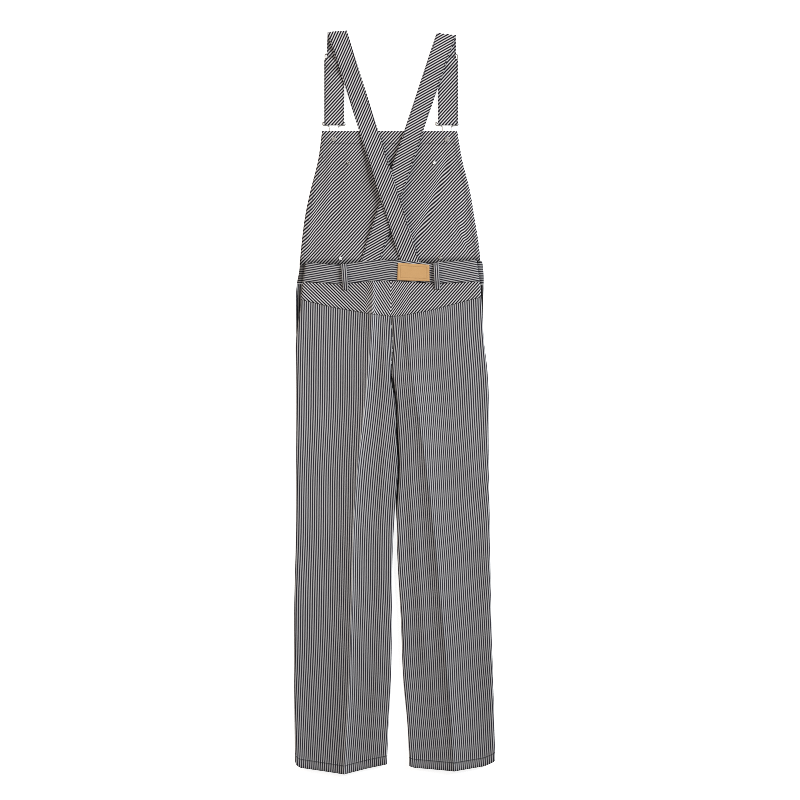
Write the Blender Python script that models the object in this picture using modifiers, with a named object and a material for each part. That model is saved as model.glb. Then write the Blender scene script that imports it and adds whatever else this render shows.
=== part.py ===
"""Striped bib overalls, laid face down and smoothed flat, seen from the back.

The garment's top points to +Y, the wearer's left is at -X and the resting plane is z = 0.
Tables and sizes are in millimetres; MM turns them into metres. Lines that run across the
garment are short lists of (x, y) corners, and tables have a row for each height.
"""

import functools
import math

import bmesh
import bpy
import numpy as np
from mathutils import Matrix

MM = 0.001

# Puts the garment's own box centrally on the origin
CENTRE_SHIFT = (1.03, -0.55)

# Cloth, seams and side folds
CLOTH = 1.3
BAND_CLOTH = 2.4
SEAM_GAP = 0.3
FOLD_RADIUS = 3.5
FOLD_REACH = 14.0

# Height of the back panels' outer face where nothing lifts them
LEG_TOP = 5.2
YOKE_TOP = 5.8
YOKE_RISE = (120.0, 180.0)

# The crotch, where one seam parts into the two inseams
CROTCH_Y = 57.0
CROTCH_OPENING = 34.0

# Side edges of the front (lower) and back (upper) panels; they part at the hip openings
SIDES_COLUMNS = ("y", "front_left", "back_left", "back_right", "front_right")
SIDES = (
    (290, -190, -183.0, 165.0, 171.0),
    (262, -192, -184.0, 169.0, 176.0),
    (241, -196, -186.0, 171.5, 176.5),
    (221, -198, -187.5, 174.0, 176.0),
    (190, -198, -190.0, 175.0, 175.0),
    (160, -198, -194.0, 175.5, 175.5),
    (130, -198, -198.0, 177.0, 177.0),
    (60, -198, -198.0, 185.0, 185.0),
    (-100, -198, -198.0, 187.0, 187.0),
    (-260, -198.5, -198.5, 189.5, 189.5),
    (-420, -202, -202.0, 192.0, 192.0),
    (-560, -202, -202.0, 196.0, 196.0),
    (-745, -200, -200.0, 201.0, 201.0),
)

# Inner edge of the left half, and how far the right half lies from it: one seam, then two inseams
INNER_COLUMNS = ("y", "left", "apart")
INNER = (
    (290, -8.4, 0.3),
    (172, -8.4, 0.3),
    (115, -4.6, 0.3),
    (85, -6.4, 0.3),
    (57, -8.4, 0.3),
    (40, -8.0, 3.4),
    (12, -1.6, 1.2),
    (-60, 1.8, 1.0),
    (-135, 5.0, 1.2),
    (-205, 0.6, 2.2),
    (-283, -4.4, 8.0),
    (-440, -6.4, 18.0),
    (-560, -8.4, 24.8),
    (-640, -13.0, 37.0),
    (-745, -17.0, 46.0),
)

# Pressed creases of the back legs: where they run and how far they stand up
CREASE_COLUMNS = ("y", "left", "left_height", "right", "right_height")
CREASES = (
    (290, -42, 1.0, 10, 0.0),
    (239, -44, 1.6, 14, 0.0),
    (109, -50, 2.0, 24, 0.6),
    (21, -58, 2.8, 38, 2.4),
    (-53, -66, 3.8, 50, 3.6),
    (-121, -74, 4.4, 60, 4.0),
    (-225, -82, 4.8, 73, 4.4),
    (-417, -87, 5.0, 92, 4.6),
    (-560, -91, 5.0, 105, 4.6),
    (-745, -102, 5.2, 118, 4.8),
)
CREASE_FLANK = 17.0

# Rows of the leg panels, by height, from the yoke to the hem
LEG_ROWS = (
    176, 145, 115, 90, 70, 57, 47, 37, 22, 5, -25, -60, -100, -150,
    -210, -280, -360, -440, -520, -600, -660, -705, -735,
)
FRONT_LEG_ROWS = (240,) + LEG_ROWS
YOKE_ROWS = (240, 226, 208, 190, 176)
LEG_STEPS = 7
FRONT_STEPS = 3

# Points of the turned edges, and of the line that each section is read from
FOLD_STEP_COUNT = 3
FOLD_POINTS = 16
SECTION_POINTS = 40

# Seams and edges that run across, from left to right
YOKE_SEAM = (
    (-200, 209),
    (-130, 191),
    (-68, 180),
    (-44, 176),
    (-8, 172),
    (12, 173),
    (71, 184),
    (124, 198),
    (180, 213),
)
BAND_TOP = ((-184, 280), (-108, 275), (-38, 285), (18, 284), (74, 277), (84, 281), (166, 285))
BAND_BOTTOM = ((-200, 241), (-102, 237), (-50, 242), (4, 243), (68, 239), (88, 238), (180, 242))
HEM_LEFT = ((-201, -714), (-198, -724), (-190, -730), (-102, -743), (-54, -731), (-16, -723), (0, -723))
HEM_RIGHT = ((20, -724), (38, -730), (118, -737), (178, -727), (196, -719), (203, -712))
FRONT_HEM = {"left": ((-201, -714), (0, -721)), "right": ((20, -722), (203, -712))}
FRONT_BAND_TOP = ((-192, 277), (172, 283))
FRONT_BAND_BOTTOM = ((-198, 238), (177, 236))

# Back waistband: height of its outer face in the middle and at its ends
BAND_MIDDLE_TOP = 7.7
BAND_END_TOP = 6.2
BAND_COLUMNS = 25
BAND_ROWS = (280, 268, 254, 241)
FRONT_BAND_COLUMNS = 7
FRONT_BAND_ROWS = (281, 258, 237)

# Bib and the pocket riveted to its face, which lies underneath
BIB_COLUMNS = ("y", "left", "right")
BIB = (
    (543, -146, 124),
    (485, -154, 134),
    (421, -170, 150),
    (373, -180, 158),
    (309, -188, 168),
    (277, -191, 171),
)
BIB_TOP = ((-146, 543), (124, 543))
BIB_ROWS = (543, 534, 526, 516, 503, 490, 479, 464, 440, 400, 355, 320, 300, 288, 277)
BIB_ACROSS = 17
POCKET_COLUMNS = ("y", "left", "right")
POCKET = ((489, -103, 88), (300, -117, 98), (279, -118, 99))
POCKET_TOP = ((-103, 489), (88, 489))
POCKET_BOTTOM = ((-118, 279), (99, 282.6))
POCKET_ROWS = (489, 479, 464, 440, 400, 355, 320, 300, 289, 279)
POCKET_ACROSS = 12
POCKET_GAP = 0.6
BIB_SEAM_GAP = 0.7
BUTTON_LIFT = 4.4
BUTTON_SPREAD = 62.0
RIVET_LIFT = 1.3
RIVET_SPREAD = 30.0

# Buttons and rivets: their places, and radius and thickness of each end
BUTTONS = {"left": (-122.4, 526.0), "right": (103.6, 526.0)}
BUTTON_HEAD = (8.5, 2.2)
BUTTON_BACK = (4.8, 1.2)
BUTTON_SHANK = 2.4
RIVETS = {
    "top_left": (-93.4, 479.0),
    "top_right": (78.0, 479.0),
    "bottom_left": (-109.4, 288.0),
    "bottom_right": (89.6, 289.0),
}
RIVET_HEAD = (4.5, 1.0)
RIVET_BACK = (3.4, 0.9)
RIVET_SHANK = 1.3
PIN_EDGE = 0.4
ROUND_SIDES = 14
HOLE_DEPTH = 50.0

# Straps: where each starts at its buckle, folds over the shoulder and enters the waistband
STRAP_WIDTH = 38.4
STRAP_CLOTH = 1.3
STRAP_CLEAR = 0.4
STRAPS = {
    "left": {
        "buckle": -122.4,
        "shoulder": (-116.0, 742.0),
        "waist": (33.0, 272.0),
        "rise": 1.4,
        "crosses": 1.7,
    },
    "right": {
        "buckle": 103.6,
        "shoulder": (102.0, 736.5),
        "waist": (-54.0, 272.0),
        "rise": -2.4,
        "crosses": 0.0,
    },
}
SHOULDER_TURN = 1.5
SHOULDER_CLEAR = 5.0
STRAP_LEVELS = (720.0, 560.0)
FRONT_RUN_Z = STRAP_CLOTH / 2
TURN_STEPS = 6
BIB_FOOT_Y = 290
CROSSING = {"y": 395.0, "half": 60.0, "ease": 45.0}

# The strap's end over the slider: y from the slider's centre bar, z of the cloth's middle
STRAP_END = (
    (2.45, 2.0),
    (2.45, 3.0),
    (2.17, 3.67),
    (1.5, 3.95),
    (-0.5, 3.95),
    (-2.5, 4.6),
    (-5.5, 5.6),
    (-10.5, 5.6),
    (-12.5, 5.2),
    (-19.5, 2.7),
    (-27.0, 2.25),
    (-65.0, 2.25),
)

# The same end run on its way to the buckle, as y and z, and the y of the run that comes back up
STRAP_TO_BUCKLE = ((595, 2.25), (577, 2.5), (568, 3.6), (562, 4.6))
STRAP_FROM_BUCKLE = (568, 590)

# The strap under and over the slider's bars: y from its centre bar, z of the cloth's middle
STRAP_THROUGH = (
    (-65.0, 0.65),
    (-27.0, 0.65),
    (-19.0, 0.65),
    (-11.5, 3.7),
    (-10.5, 3.95),
    (-6.4, 3.95),
    (-3.1, 0.65),
    (4.5, 0.65),
    (8.4, 3.95),
    (12.6, 3.95),
    (20.0, 0.65),
    (30.0, 0.65),
)

# The strap's way back over its own front run, the slider and onto the bib: y, z of the middle
STRAP_BACK = (
    (745, 3.65),
    (725, 4.2),
    (706, 6.0),
    (693, 7.1),
    (686, 7.35),
    (677, 7.35),
    (668, 6.4),
    (652, 4.2),
    (636, 3.95),
    (600, 3.95),
    (540, 3.95),
)
STRAP_LANDS = (600.0, 552.0)
STRAP_BACK_ROWS = (
    734, 725, 715, 706, 699, 693, 686, 677, 668, 660, 652, 636, 618, 600, 584, 568, 552, 536, 520, 502,
    484, 466, 448, 430, 412, 394, 376, 358, 340, 322, 304, 292, 283, 272,
)

# Slider: a flat plate with two slots; the y values are from the middle of its centre bar
SLIDER_Y = {"left": 689.0, "right": 686.0}
SLIDER_PLATE = {"width": 46.0, "low": -9.5, "high": 12.0, "thickness": 1.4, "z": 2.3, "corner": 2.5}
SLIDER_SLOTS = ((-6.5, -1.5), (1.5, 9.0))
SLIDER_SLOT_WIDTH = 40.4
SLOT_CORNER = 0.8

# Buckle: a wire bar in the strap's loop that narrows to a hook round the button's shank.
# The table is its right half as x, y and z from the bar's middle
WIRE = 1.2
BUCKLE_Y = 557.0
BUCKLE_Z = STRAP_CLOTH + SEAM_GAP + WIRE
BUCKLE_TURN = WIRE + SEAM_GAP + STRAP_CLOTH / 2
BUCKLE = (
    (0.0, 0.0, 0.0),
    (9.0, 0.0, 0.0),
    (18.0, 0.0, 0.0),
    (22.2, 1.6, 0.0),
    (22.0, -3.6, 0.1),
    (15.0, -6.4, 0.5),
    (9.6, -10.0, 0.9),
    (8.6, -17.0, 1.0),
    (6.8, -24.0, 1.0),
    (4.6, -29.5, 1.0),
    (2.9, -33.6, 1.0),
    (0.0, -35.2, 1.0),
)

# Belt loops: top and bottom places. The rows give how far down the loop a point is, how far
# it stands above what the loop crosses, and what that is
LOOP_WIDTH = 11.5
LOOP_CLOTH = 1.3
LOOPS = {"left": ((-103.0, 277.0), (-99.0, 225.0)), "right": ((80.0, 278.0), (88.0, 226.0))}
LOOP_ROWS = (
    (0.00, 0.3, "band"),
    (0.10, 0.3, "band"),
    (0.20, 2.3, "band"),
    (0.35, 2.8, "band"),
    (0.55, 2.8, "band"),
    (0.68, 2.6, "band"),
    (0.86, 1.0, "yoke"),
    (0.92, 0.3, "yoke"),
    (1.00, 0.3, "yoke"),
)

# Patch on the back waistband
PATCH_CORNERS = {"top": ((5.2, 279.0), (68.2, 275.2)), "bottom": ((4.0, 244.2), (68.6, 241.8))}
PATCH_LEATHER = 1.4
PATCH_ROWS = 4
PATCH_COLUMNS = 7

COLOURS = {
    "striped_twill": ((0.19, 0.18, 0.19, 1.0), 0.85, 0.0),
    "leather": ((0.67, 0.37, 0.15, 1.0), 0.55, 0.0),
    "metal": ((0.45, 0.40, 0.34, 1.0), 0.35, 1.0),
}


def ease(u):
    """From 0 to 1 with level ends."""
    u = np.clip(u, 0.0, 1.0)
    return u * u * (3 - 2 * u)


@functools.lru_cache(maxsize=None)
def column_knots(table, names, name):
    rows = np.array(table, float)[::-1]
    ys, values = rows[:, 0], rows[:, names.index(name)]
    return ys, values, np.gradient(values, ys)


@functools.lru_cache(maxsize=None)
def column(table, names, name, y):
    """Smooth reading of one named column of a table whose first column is y, highest first."""
    ys, values, slopes = column_knots(table, names, name)
    y = float(np.clip(y, ys[0], ys[-1]))
    low = int(np.clip(np.searchsorted(ys, y) - 1, 0, len(ys) - 2))
    step = ys[low + 1] - ys[low]
    u = (y - ys[low]) / step
    return float(
        (2 * u**3 - 3 * u**2 + 1) * values[low]
        + (u**3 - 2 * u**2 + u) * step * slopes[low]
        + (3 * u**2 - 2 * u**3) * values[low + 1]
        + (u**3 - u**2) * step * slopes[low + 1]
    )


def across(line, x):
    """Height of a line of (x, y) corners at x."""
    return float(np.interp(x, [p[0] for p in line], [p[1] for p in line]))


def lowered(line, by):
    return tuple((x, y - by) for x, y in line)


# Materials and objects


def make_material(name):
    colour, roughness, metallic = COLOURS[name]
    material = bpy.data.materials.new(name)
    material.use_nodes = True
    shader = material.node_tree.nodes["Principled BSDF"]
    shader.inputs["Base Color"].default_value = colour
    shader.inputs["Roughness"].default_value = roughness
    shader.inputs["Metallic"].default_value = metallic
    material.diffuse_color = colour
    return material


def new_collection(name):
    collection = bpy.data.collections.new(name)
    bpy.context.scene.collection.children.link(collection)
    return collection


def add_object(name, data, material, collection=None):
    obj = bpy.data.objects.new(name, data)
    (collection or garment).objects.link(obj)
    data.materials.append(materials[material])
    obj.parent = centred
    return obj


def sheet(name, rows, thickness, material="striped_twill", offset=-1.0):
    """Cloth through rows of points (mm), left to right and top to bottom for a face that looks up."""
    rows = np.array(rows, float) * MM
    count, width = rows.shape[:2]
    faces = [
        (r * width + c, (r + 1) * width + c, (r + 1) * width + c + 1, r * width + c + 1)
        for r in range(count - 1)
        for c in range(width - 1)
    ]
    mesh = bpy.data.meshes.new(name)
    mesh.from_pydata(rows.reshape(-1, 3).tolist(), [], faces)
    mesh.shade_smooth()
    obj = add_object(name, mesh, material)
    wall = obj.modifiers.new("Wall", "SOLIDIFY")
    wall.thickness = thickness * MM
    wall.offset = offset
    wall.use_even_offset = True
    return obj


def wall(name, rows, material="striped_twill"):
    """Closed cloth through rows of outer and inner points (mm), ordered as for a sheet."""
    rows = np.array(rows, float) * MM
    count, width = rows.shape[:2]
    total = count * width
    points = np.concatenate([rows[:, :, :3].reshape(-1, 3), rows[:, :, 3:].reshape(-1, 3)])
    faces = []
    for r in range(count - 1):
        for c in range(width - 1):
            corners = (r * width + c, (r + 1) * width + c, (r + 1) * width + c + 1, r * width + c + 1)
            faces.append(corners)
            faces.append(tuple(k + total for k in reversed(corners)))
    rim = list(range(width))
    rim += [r * width + width - 1 for r in range(1, count)]
    rim += [(count - 1) * width + c for c in range(width - 2, -1, -1)]
    rim += [r * width for r in range(count - 2, 0, -1)]
    for k, corner in enumerate(rim):
        following = rim[(k + 1) % len(rim)]
        faces.append((corner, following, following + total, corner + total))
    mesh = bpy.data.meshes.new(name)
    mesh.from_pydata(points.tolist(), [], faces)
    mesh.shade_smooth()
    mesh.set_sharp_from_angle(angle=math.radians(50))
    return add_object(name, mesh, material)


def rows_between(point, width, top_line, bottom_line, heights):
    """Rows of points between two lines that run across; each column keeps its place in the section."""
    columns = []
    for c in range(width):
        ends = []
        for line, start in ((top_line, heights[0]), (bottom_line, heights[-1])):
            y = start
            for _ in range(5):
                y = across(line, point(c, y)[0])
            ends.append(y)
        span = (heights[0] - heights[-1]) or 1
        ys = [ends[1] + (ends[0] - ends[1]) * (h - heights[-1]) / span for h in heights]
        columns.append([point(c, y) for y in ys])
    return [list(row) for row in zip(*columns)]


# Sections of the two halves


def read_line(line, distances, outside):
    """Points at the given distances along a line of (x, z) points, each with the wall's inner point."""
    line = np.array(line)
    steps = np.diff(line, axis=0)
    lengths = np.concatenate([[0], np.cumsum(np.hypot(*steps.T))])
    found = []
    for distance in distances:
        k = int(np.clip(np.searchsorted(lengths, distance, "right") - 1, 0, len(steps) - 1))
        along = steps[k] / np.hypot(*steps[k])
        x, z = line[k] + along * (distance - lengths[k])
        normal = outside * np.array((-along[1], along[0]))
        found.append((x, z, x - CLOTH * normal[0], z - CLOTH * normal[1]))
    return found


def line_length(line):
    return float(np.hypot(*np.diff(np.array(line), axis=0).T).sum())


SEAM_ANGLE = SEAM_GAP / 2 / FOLD_RADIUS
FOLD_STEPS = tuple(np.linspace(0, FOLD_RADIUS * math.pi / 2, FOLD_STEP_COUNT + 1))


def from_fold(length, steps):
    """Distances from a fold inwards: the fold's own steps, then even steps."""
    return list(FOLD_STEPS) + list(np.linspace(FOLD_STEPS[-1], length, steps + 1)[1:])


def towards_fold(length, steps):
    return [length - d for d in reversed(from_fold(length, steps))]


def inward(side):
    return 1 if side == "left" else -1


def parted(y):
    """0 where the halves are sewn together, 1 where the legs are tubes of their own."""
    return ease((CROTCH_Y - y) / CROTCH_OPENING)


def inner_edge(side, y):
    edge = column(INNER, INNER_COLUMNS, "left", y)
    apart = max(column(INNER, INNER_COLUMNS, "apart", y), SEAM_GAP)
    return edge if side == "left" else edge + apart


def back_height(side, x, y):
    """Outer face of the back half at x, y, away from the turned edges; x may be an array."""
    turn = parted(y)
    outer = column(SIDES, SIDES_COLUMNS, "back_" + side, y) + inward(side) * FOLD_RADIUS
    inner = inner_edge(side, y) - inward(side) * FOLD_RADIUS * math.sin(turn * math.pi / 2)
    plateau = LEG_TOP + (YOKE_TOP - LEG_TOP) * ease((y - YOKE_RISE[0]) / (YOKE_RISE[1] - YOKE_RISE[0]))
    from_outer = abs(x - outer) / FOLD_REACH
    from_inner = abs(x - inner) / FOLD_REACH
    crease = column(CREASES, CREASE_COLUMNS, side, y)
    height = column(CREASES, CREASE_COLUMNS, side + "_height", y)
    ridge = height * np.exp(-abs(x - crease) / CREASE_FLANK)
    ridge = ridge * ease(from_outer / 2) * (1 - turn + turn * ease(from_inner / 2))
    bulge = np.exp(-(from_outer**2)) + turn * np.exp(-(from_inner**2))
    return plateau + ridge + (2 * FOLD_RADIUS - plateau) * bulge


def back_section(side, y):
    """Outer line of a back half as two runs of (x, z): side fold to crease, crease to inner edge."""
    way = inward(side)
    end_turn = parted(y) * math.pi / 2
    outer = column(SIDES, SIDES_COLUMNS, "back_" + side, y) + way * FOLD_RADIUS
    inner = inner_edge(side, y) - way * FOLD_RADIUS * math.sin(end_turn)
    crease = column(CREASES, CREASE_COLUMNS, side, y)
    first = [
        (outer - way * FOLD_RADIUS * math.cos(a), FOLD_RADIUS + FOLD_RADIUS * math.sin(a))
        for a in np.linspace(SEAM_ANGLE, math.pi / 2, FOLD_POINTS)
    ]
    to_crease = np.linspace(outer, crease, SECTION_POINTS)
    to_inner = np.linspace(crease, inner, SECTION_POINTS)
    first += list(zip(to_crease, back_height(side, to_crease, y)))[1:]
    second = list(zip(to_inner, back_height(side, to_inner, y)))
    top = second[-1][1]
    last_angle = max(end_turn - SEAM_ANGLE, 0)
    if last_angle > 0:
        second += [
            (inner + way * FOLD_RADIUS * math.sin(a), top - FOLD_RADIUS + FOLD_RADIUS * math.cos(a))
            for a in np.linspace(0, last_angle, FOLD_POINTS)[1:]
        ]
    return first, second


def back_row(side, y, steps):
    first, second = back_section(side, y)
    outer_half = read_line(first, from_fold(line_length(first), steps), inward(side))
    inner_half = read_line(second, towards_fold(line_length(second), steps), inward(side))
    row = outer_half[:-1] + inner_half
    return row if side == "left" else row[::-1]


def front_row(side, y, steps):
    """Outer line of a front half, which rests on z = 0 and turns up at its edges."""
    way = inward(side)
    end_turn = parted(y) * math.pi / 2
    outer = column(SIDES, SIDES_COLUMNS, "front_" + side, y) + way * FOLD_RADIUS
    inner = inner_edge(side, y) - way * FOLD_RADIUS * math.sin(end_turn)
    line = [
        (outer - way * FOLD_RADIUS * math.cos(a), FOLD_RADIUS - FOLD_RADIUS * math.sin(a))
        for a in np.linspace(SEAM_ANGLE, math.pi / 2, FOLD_POINTS)
    ]
    middle = (outer + inner) / 2
    second = [(middle, 0.0), (inner, 0.0)]
    last_angle = max(end_turn - SEAM_ANGLE, 0)
    if last_angle > 0:
        second += [
            (inner + way * FOLD_RADIUS * math.sin(a), FOLD_RADIUS - FOLD_RADIUS * math.cos(a))
            for a in np.linspace(0, last_angle, FOLD_POINTS)[1:]
        ]
    line.append((middle, 0.0))
    outer_half = read_line(line, from_fold(line_length(line), steps), -way)
    inner_half = read_line(second, towards_fold(line_length(second), steps), -way)
    row = outer_half[:-1] + inner_half
    return row[::-1] if side == "left" else row


def section_point(row_at, side, steps):
    """point(c, y) for rows_between, from a function that gives a whole row."""
    known = {}

    def point(c, y):
        if y not in known:
            known[y] = row_at(side, y, steps)
        x, z, inner_x, inner_z = known[y][c]
        return (x, y, z, inner_x, y, inner_z)

    return point


def section_width(steps):
    return 2 * (len(FOLD_STEPS) + steps) - 1


# Legs and yokes


def make_legs():
    for side, hem in (("left", HEM_LEFT), ("right", HEM_RIGHT)):
        back = rows_between(
            section_point(back_row, side, LEG_STEPS),
            section_width(LEG_STEPS),
            lowered(YOKE_SEAM, SEAM_GAP),
            hem,
            LEG_ROWS,
        )
        wall("back_leg_" + side, back)
        front = rows_between(
            section_point(front_row, side, FRONT_STEPS),
            section_width(FRONT_STEPS),
            lowered(FRONT_BAND_BOTTOM, SEAM_GAP),
            FRONT_HEM[side],
            FRONT_LEG_ROWS,
        )
        wall("front_leg_" + side, front)


def make_yokes():
    for side in ("left", "right"):
        rows = rows_between(
            section_point(back_row, side, LEG_STEPS),
            section_width(LEG_STEPS),
            lowered(BAND_BOTTOM, SEAM_GAP),
            YOKE_SEAM,
            YOKE_ROWS,
        )
        wall("back_yoke_" + side, rows)


# Waistbands


def band_height(x, y):
    left = column(SIDES, SIDES_COLUMNS, "back_left", y)
    right = column(SIDES, SIDES_COLUMNS, "back_right", y)
    place = (2 * x - left - right) / (right - left)
    return BAND_MIDDLE_TOP - (BAND_MIDDLE_TOP - BAND_END_TOP) * place**6


def make_waistbands():
    def back_point(c, y):
        left = column(SIDES, SIDES_COLUMNS, "back_left", y)
        right = column(SIDES, SIDES_COLUMNS, "back_right", y)
        x = left + (right - left) * c / (BAND_COLUMNS - 1)
        return (x, y, band_height(x, y))

    def front_point(c, y):
        left = column(SIDES, SIDES_COLUMNS, "front_left", y)
        right = column(SIDES, SIDES_COLUMNS, "front_right", y)
        return (left + (right - left) * c / (FRONT_BAND_COLUMNS - 1), y, BAND_CLOTH)

    back = rows_between(back_point, BAND_COLUMNS, BAND_TOP, BAND_BOTTOM, BAND_ROWS)
    sheet("waistband_back", back, BAND_CLOTH)
    front = rows_between(
        front_point,
        FRONT_BAND_COLUMNS,
        FRONT_BAND_TOP,
        FRONT_BAND_BOTTOM,
        FRONT_BAND_ROWS,
    )
    sheet("waistband_front", front, BAND_CLOTH)


# Bib, its pocket, buttons and rivets


def lift(places, height, reach, x, y):
    return sum(height * math.exp(-((x - px) ** 2 + (y - py) ** 2) / reach**2) for px, py in places.values())


def pocket_height(x, y):
    return CLOTH + lift(RIVETS, RIVET_LIFT, RIVET_SPREAD, x, y)


def bib_height(x, y):
    return pocket_height(x, y) + POCKET_GAP + CLOTH + lift(BUTTONS, BUTTON_LIFT, BUTTON_SPREAD, x, y)


def flat_point(table, names, width, height):
    """point(c, y) for a panel whose sides are the left and right columns of a table."""

    def point(c, y):
        left = column(table, names, "left", y)
        right = column(table, names, "right", y)
        x = left + (right - left) * c / (width - 1)
        return (x, y, height(x, y))

    return point


def make_hole_cutter():
    """One cutter with a pin for each button and rivet."""
    pins = [(place, BUTTON_SHANK + SEAM_GAP) for place in BUTTONS.values()]
    pins += [(place, RIVET_SHANK + SEAM_GAP) for place in RIVETS.values()]
    shape = bmesh.new()
    for (x, y), radius in pins:
        bmesh.ops.create_cone(
            shape,
            cap_ends=True,
            segments=ROUND_SIDES,
            radius1=radius * MM,
            radius2=radius * MM,
            depth=HOLE_DEPTH * MM,
            matrix=Matrix.Translation((x * MM, y * MM, 0)),
        )
    mesh = bpy.data.meshes.new("pin_holes")
    shape.to_mesh(mesh)
    shape.free()
    cutter = add_object("pin_holes", mesh, "metal", cutters)
    cutter.hide_render = True
    cutter.display_type = "WIRE"
    return cutter


def make_bib():
    cutter = make_hole_cutter()
    bib = rows_between(
        flat_point(BIB, BIB_COLUMNS, BIB_ACROSS, bib_height),
        BIB_ACROSS,
        BIB_TOP,
        lowered(FRONT_BAND_TOP, -BIB_SEAM_GAP),
        BIB_ROWS,
    )
    pocket = rows_between(
        flat_point(POCKET, POCKET_COLUMNS, POCKET_ACROSS, pocket_height),
        POCKET_ACROSS,
        POCKET_TOP,
        POCKET_BOTTOM,
        POCKET_ROWS,
    )
    for obj in (sheet("bib", bib, CLOTH), sheet("bib_pocket", pocket, CLOTH)):
        holes = obj.modifiers.new("Holes", "BOOLEAN")
        holes.operation = "DIFFERENCE"
        holes.object = cutter


def turned(name, profile, place):
    """A solid turned about the vertical through place; profile is (radius, z) from top to bottom."""
    mesh = bpy.data.meshes.new(name)
    points = [(radius * MM, 0, z * MM) for radius, z in profile]
    mesh.from_pydata(points, [(k, k + 1) for k in range(len(points) - 1)], [])
    obj = add_object(name, mesh, "metal")
    obj.location = (place[0] * MM, place[1] * MM, 0)
    screw = obj.modifiers.new("Turn", "SCREW")
    screw.steps = ROUND_SIDES
    screw.render_steps = ROUND_SIDES
    screw.use_merge_vertices = True
    screw.merge_threshold = 0.00001
    return obj


def pin_profile(head, back, shank, cloth_top):
    """Head on the resting plane, shank through the cloth, back plate just above it."""
    low = cloth_top + SEAM_GAP
    high = low + back[1]
    return (
        (0, high),
        (back[0] - PIN_EDGE, high),
        (back[0], high - PIN_EDGE),
        (back[0], low),
        (shank, low),
        (shank, head[1]),
        (head[0] - PIN_EDGE, head[1]),
        (head[0], head[1] - PIN_EDGE),
        (head[0], PIN_EDGE),
        (head[0] - PIN_EDGE, 0),
        (0, 0),
    )


def make_pins():
    for side, place in BUTTONS.items():
        profile = pin_profile(BUTTON_HEAD, BUTTON_BACK, BUTTON_SHANK, bib_height(*place))
        turned("bib_button_" + side, profile, place)
    for corner, place in RIVETS.items():
        profile = pin_profile(RIVET_HEAD, RIVET_BACK, RIVET_SHANK, bib_height(*place))
        turned("rivet_" + corner, profile, place)


# Straps, sliders and buckles


def strap_row(x, y, z, rise=0.0):
    half = STRAP_WIDTH / 2
    return [(x - half, y - rise, z), (x, y, z), (x + half, y + rise, z)]


def front_run_x(strap, y):
    (top_x, top_y), low_x = strap["shoulder"], strap["buckle"]
    return low_x + (top_x - low_x) * (y - BUCKLE_Y) / (top_y - BUCKLE_Y)


def back_run_z(strap, x, y):
    """Middle of the strap on its way down the back: over the slider, then on the bib."""
    ys = [row[0] for row in reversed(STRAP_BACK)]
    free = float(np.interp(y, ys, [row[1] for row in reversed(STRAP_BACK)]))
    lying = bib_height(x, max(y, BIB_FOOT_Y)) + STRAP_CLEAR + STRAP_CLOTH / 2
    lands = ease((STRAP_LANDS[0] - y) / (STRAP_LANDS[0] - STRAP_LANDS[1]))
    beyond = (abs(y - CROSSING["y"]) - CROSSING["half"]) / CROSSING["ease"]
    return free + (lying - free) * lands + strap["crosses"] * (1 - ease(beyond))


def strap_rows(side):
    strap = STRAPS[side]
    slider = SLIDER_Y[side]
    path = [(slider + y, z) for y, z in STRAP_END]
    path += STRAP_TO_BUCKLE
    path += [
        (BUCKLE_Y - BUCKLE_TURN * math.sin(a), BUCKLE_Z + BUCKLE_TURN * math.cos(a))
        for a in np.linspace(0, math.pi, TURN_STEPS + 1)
    ]
    path += [(y, FRONT_RUN_Z) for y in STRAP_FROM_BUCKLE]
    path += [(slider + y, z) for y, z in STRAP_THROUGH]
    rows = [strap_row(front_run_x(strap, y), y, z) for y, z in path]
    top_x, top_y = strap["shoulder"]
    for a in np.linspace(0, math.pi, TURN_STEPS + 1):
        y = top_y - SHOULDER_TURN + SHOULDER_TURN * math.sin(a)
        z = FRONT_RUN_Z + SHOULDER_TURN * (1 - math.cos(a))
        rows.append(strap_row(top_x, y, z, strap["rise"]))
    low_x, low_y = strap["waist"]
    for height in STRAP_BACK_ROWS:
        if height > top_y - SHOULDER_CLEAR:
            continue
        x = top_x + (low_x - top_x) * (height - top_y) / (low_y - top_y)
        rise = strap["rise"] * ease((height - STRAP_LEVELS[1]) / (STRAP_LEVELS[0] - STRAP_LEVELS[1]))
        row = strap_row(x, height, 0, rise)
        rows.append([(px, py, back_run_z(strap, px, py)) for px, py, _ in row])
    return rows


def rounded_box(width, low, high, corner, steps):
    """Corners of a rectangle centred on x = 0 with rounded corners, counter-clockwise."""
    points = []
    for sx, sy, start in ((1, -1, -90), (1, 1, 0), (-1, 1, 90), (-1, -1, 180)):
        cx = sx * (width / 2 - corner)
        cy = (high - corner) if sy > 0 else (low + corner)
        for k in range(steps + 1):
            turn = math.radians(start + 90 * k / steps)
            points.append((cx + corner * math.cos(turn), cy + corner * math.sin(turn)))
    return points


def make_slider(side):
    curve = bpy.data.curves.new("slider_" + side, "CURVE")
    curve.dimensions = "2D"
    curve.fill_mode = "BOTH"
    curve.extrude = SLIDER_PLATE["thickness"] / 2 * MM
    plate = SLIDER_PLATE
    outlines = [rounded_box(plate["width"], plate["low"], plate["high"], plate["corner"], 3)]
    outlines += [rounded_box(SLIDER_SLOT_WIDTH, low, high, SLOT_CORNER, 2) for low, high in SLIDER_SLOTS]
    for outline in outlines:
        spline = curve.splines.new("POLY")
        spline.points.add(len(outline) - 1)
        for point, (x, y) in zip(spline.points, outline):
            point.co = (x * MM, y * MM, 0, 1)
        spline.use_cyclic_u = True
    obj = add_object("slider_" + side, curve, "metal")
    y = SLIDER_Y[side]
    obj.location = (front_run_x(STRAPS[side], y) * MM, y * MM, SLIDER_PLATE["z"] * MM)


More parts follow.
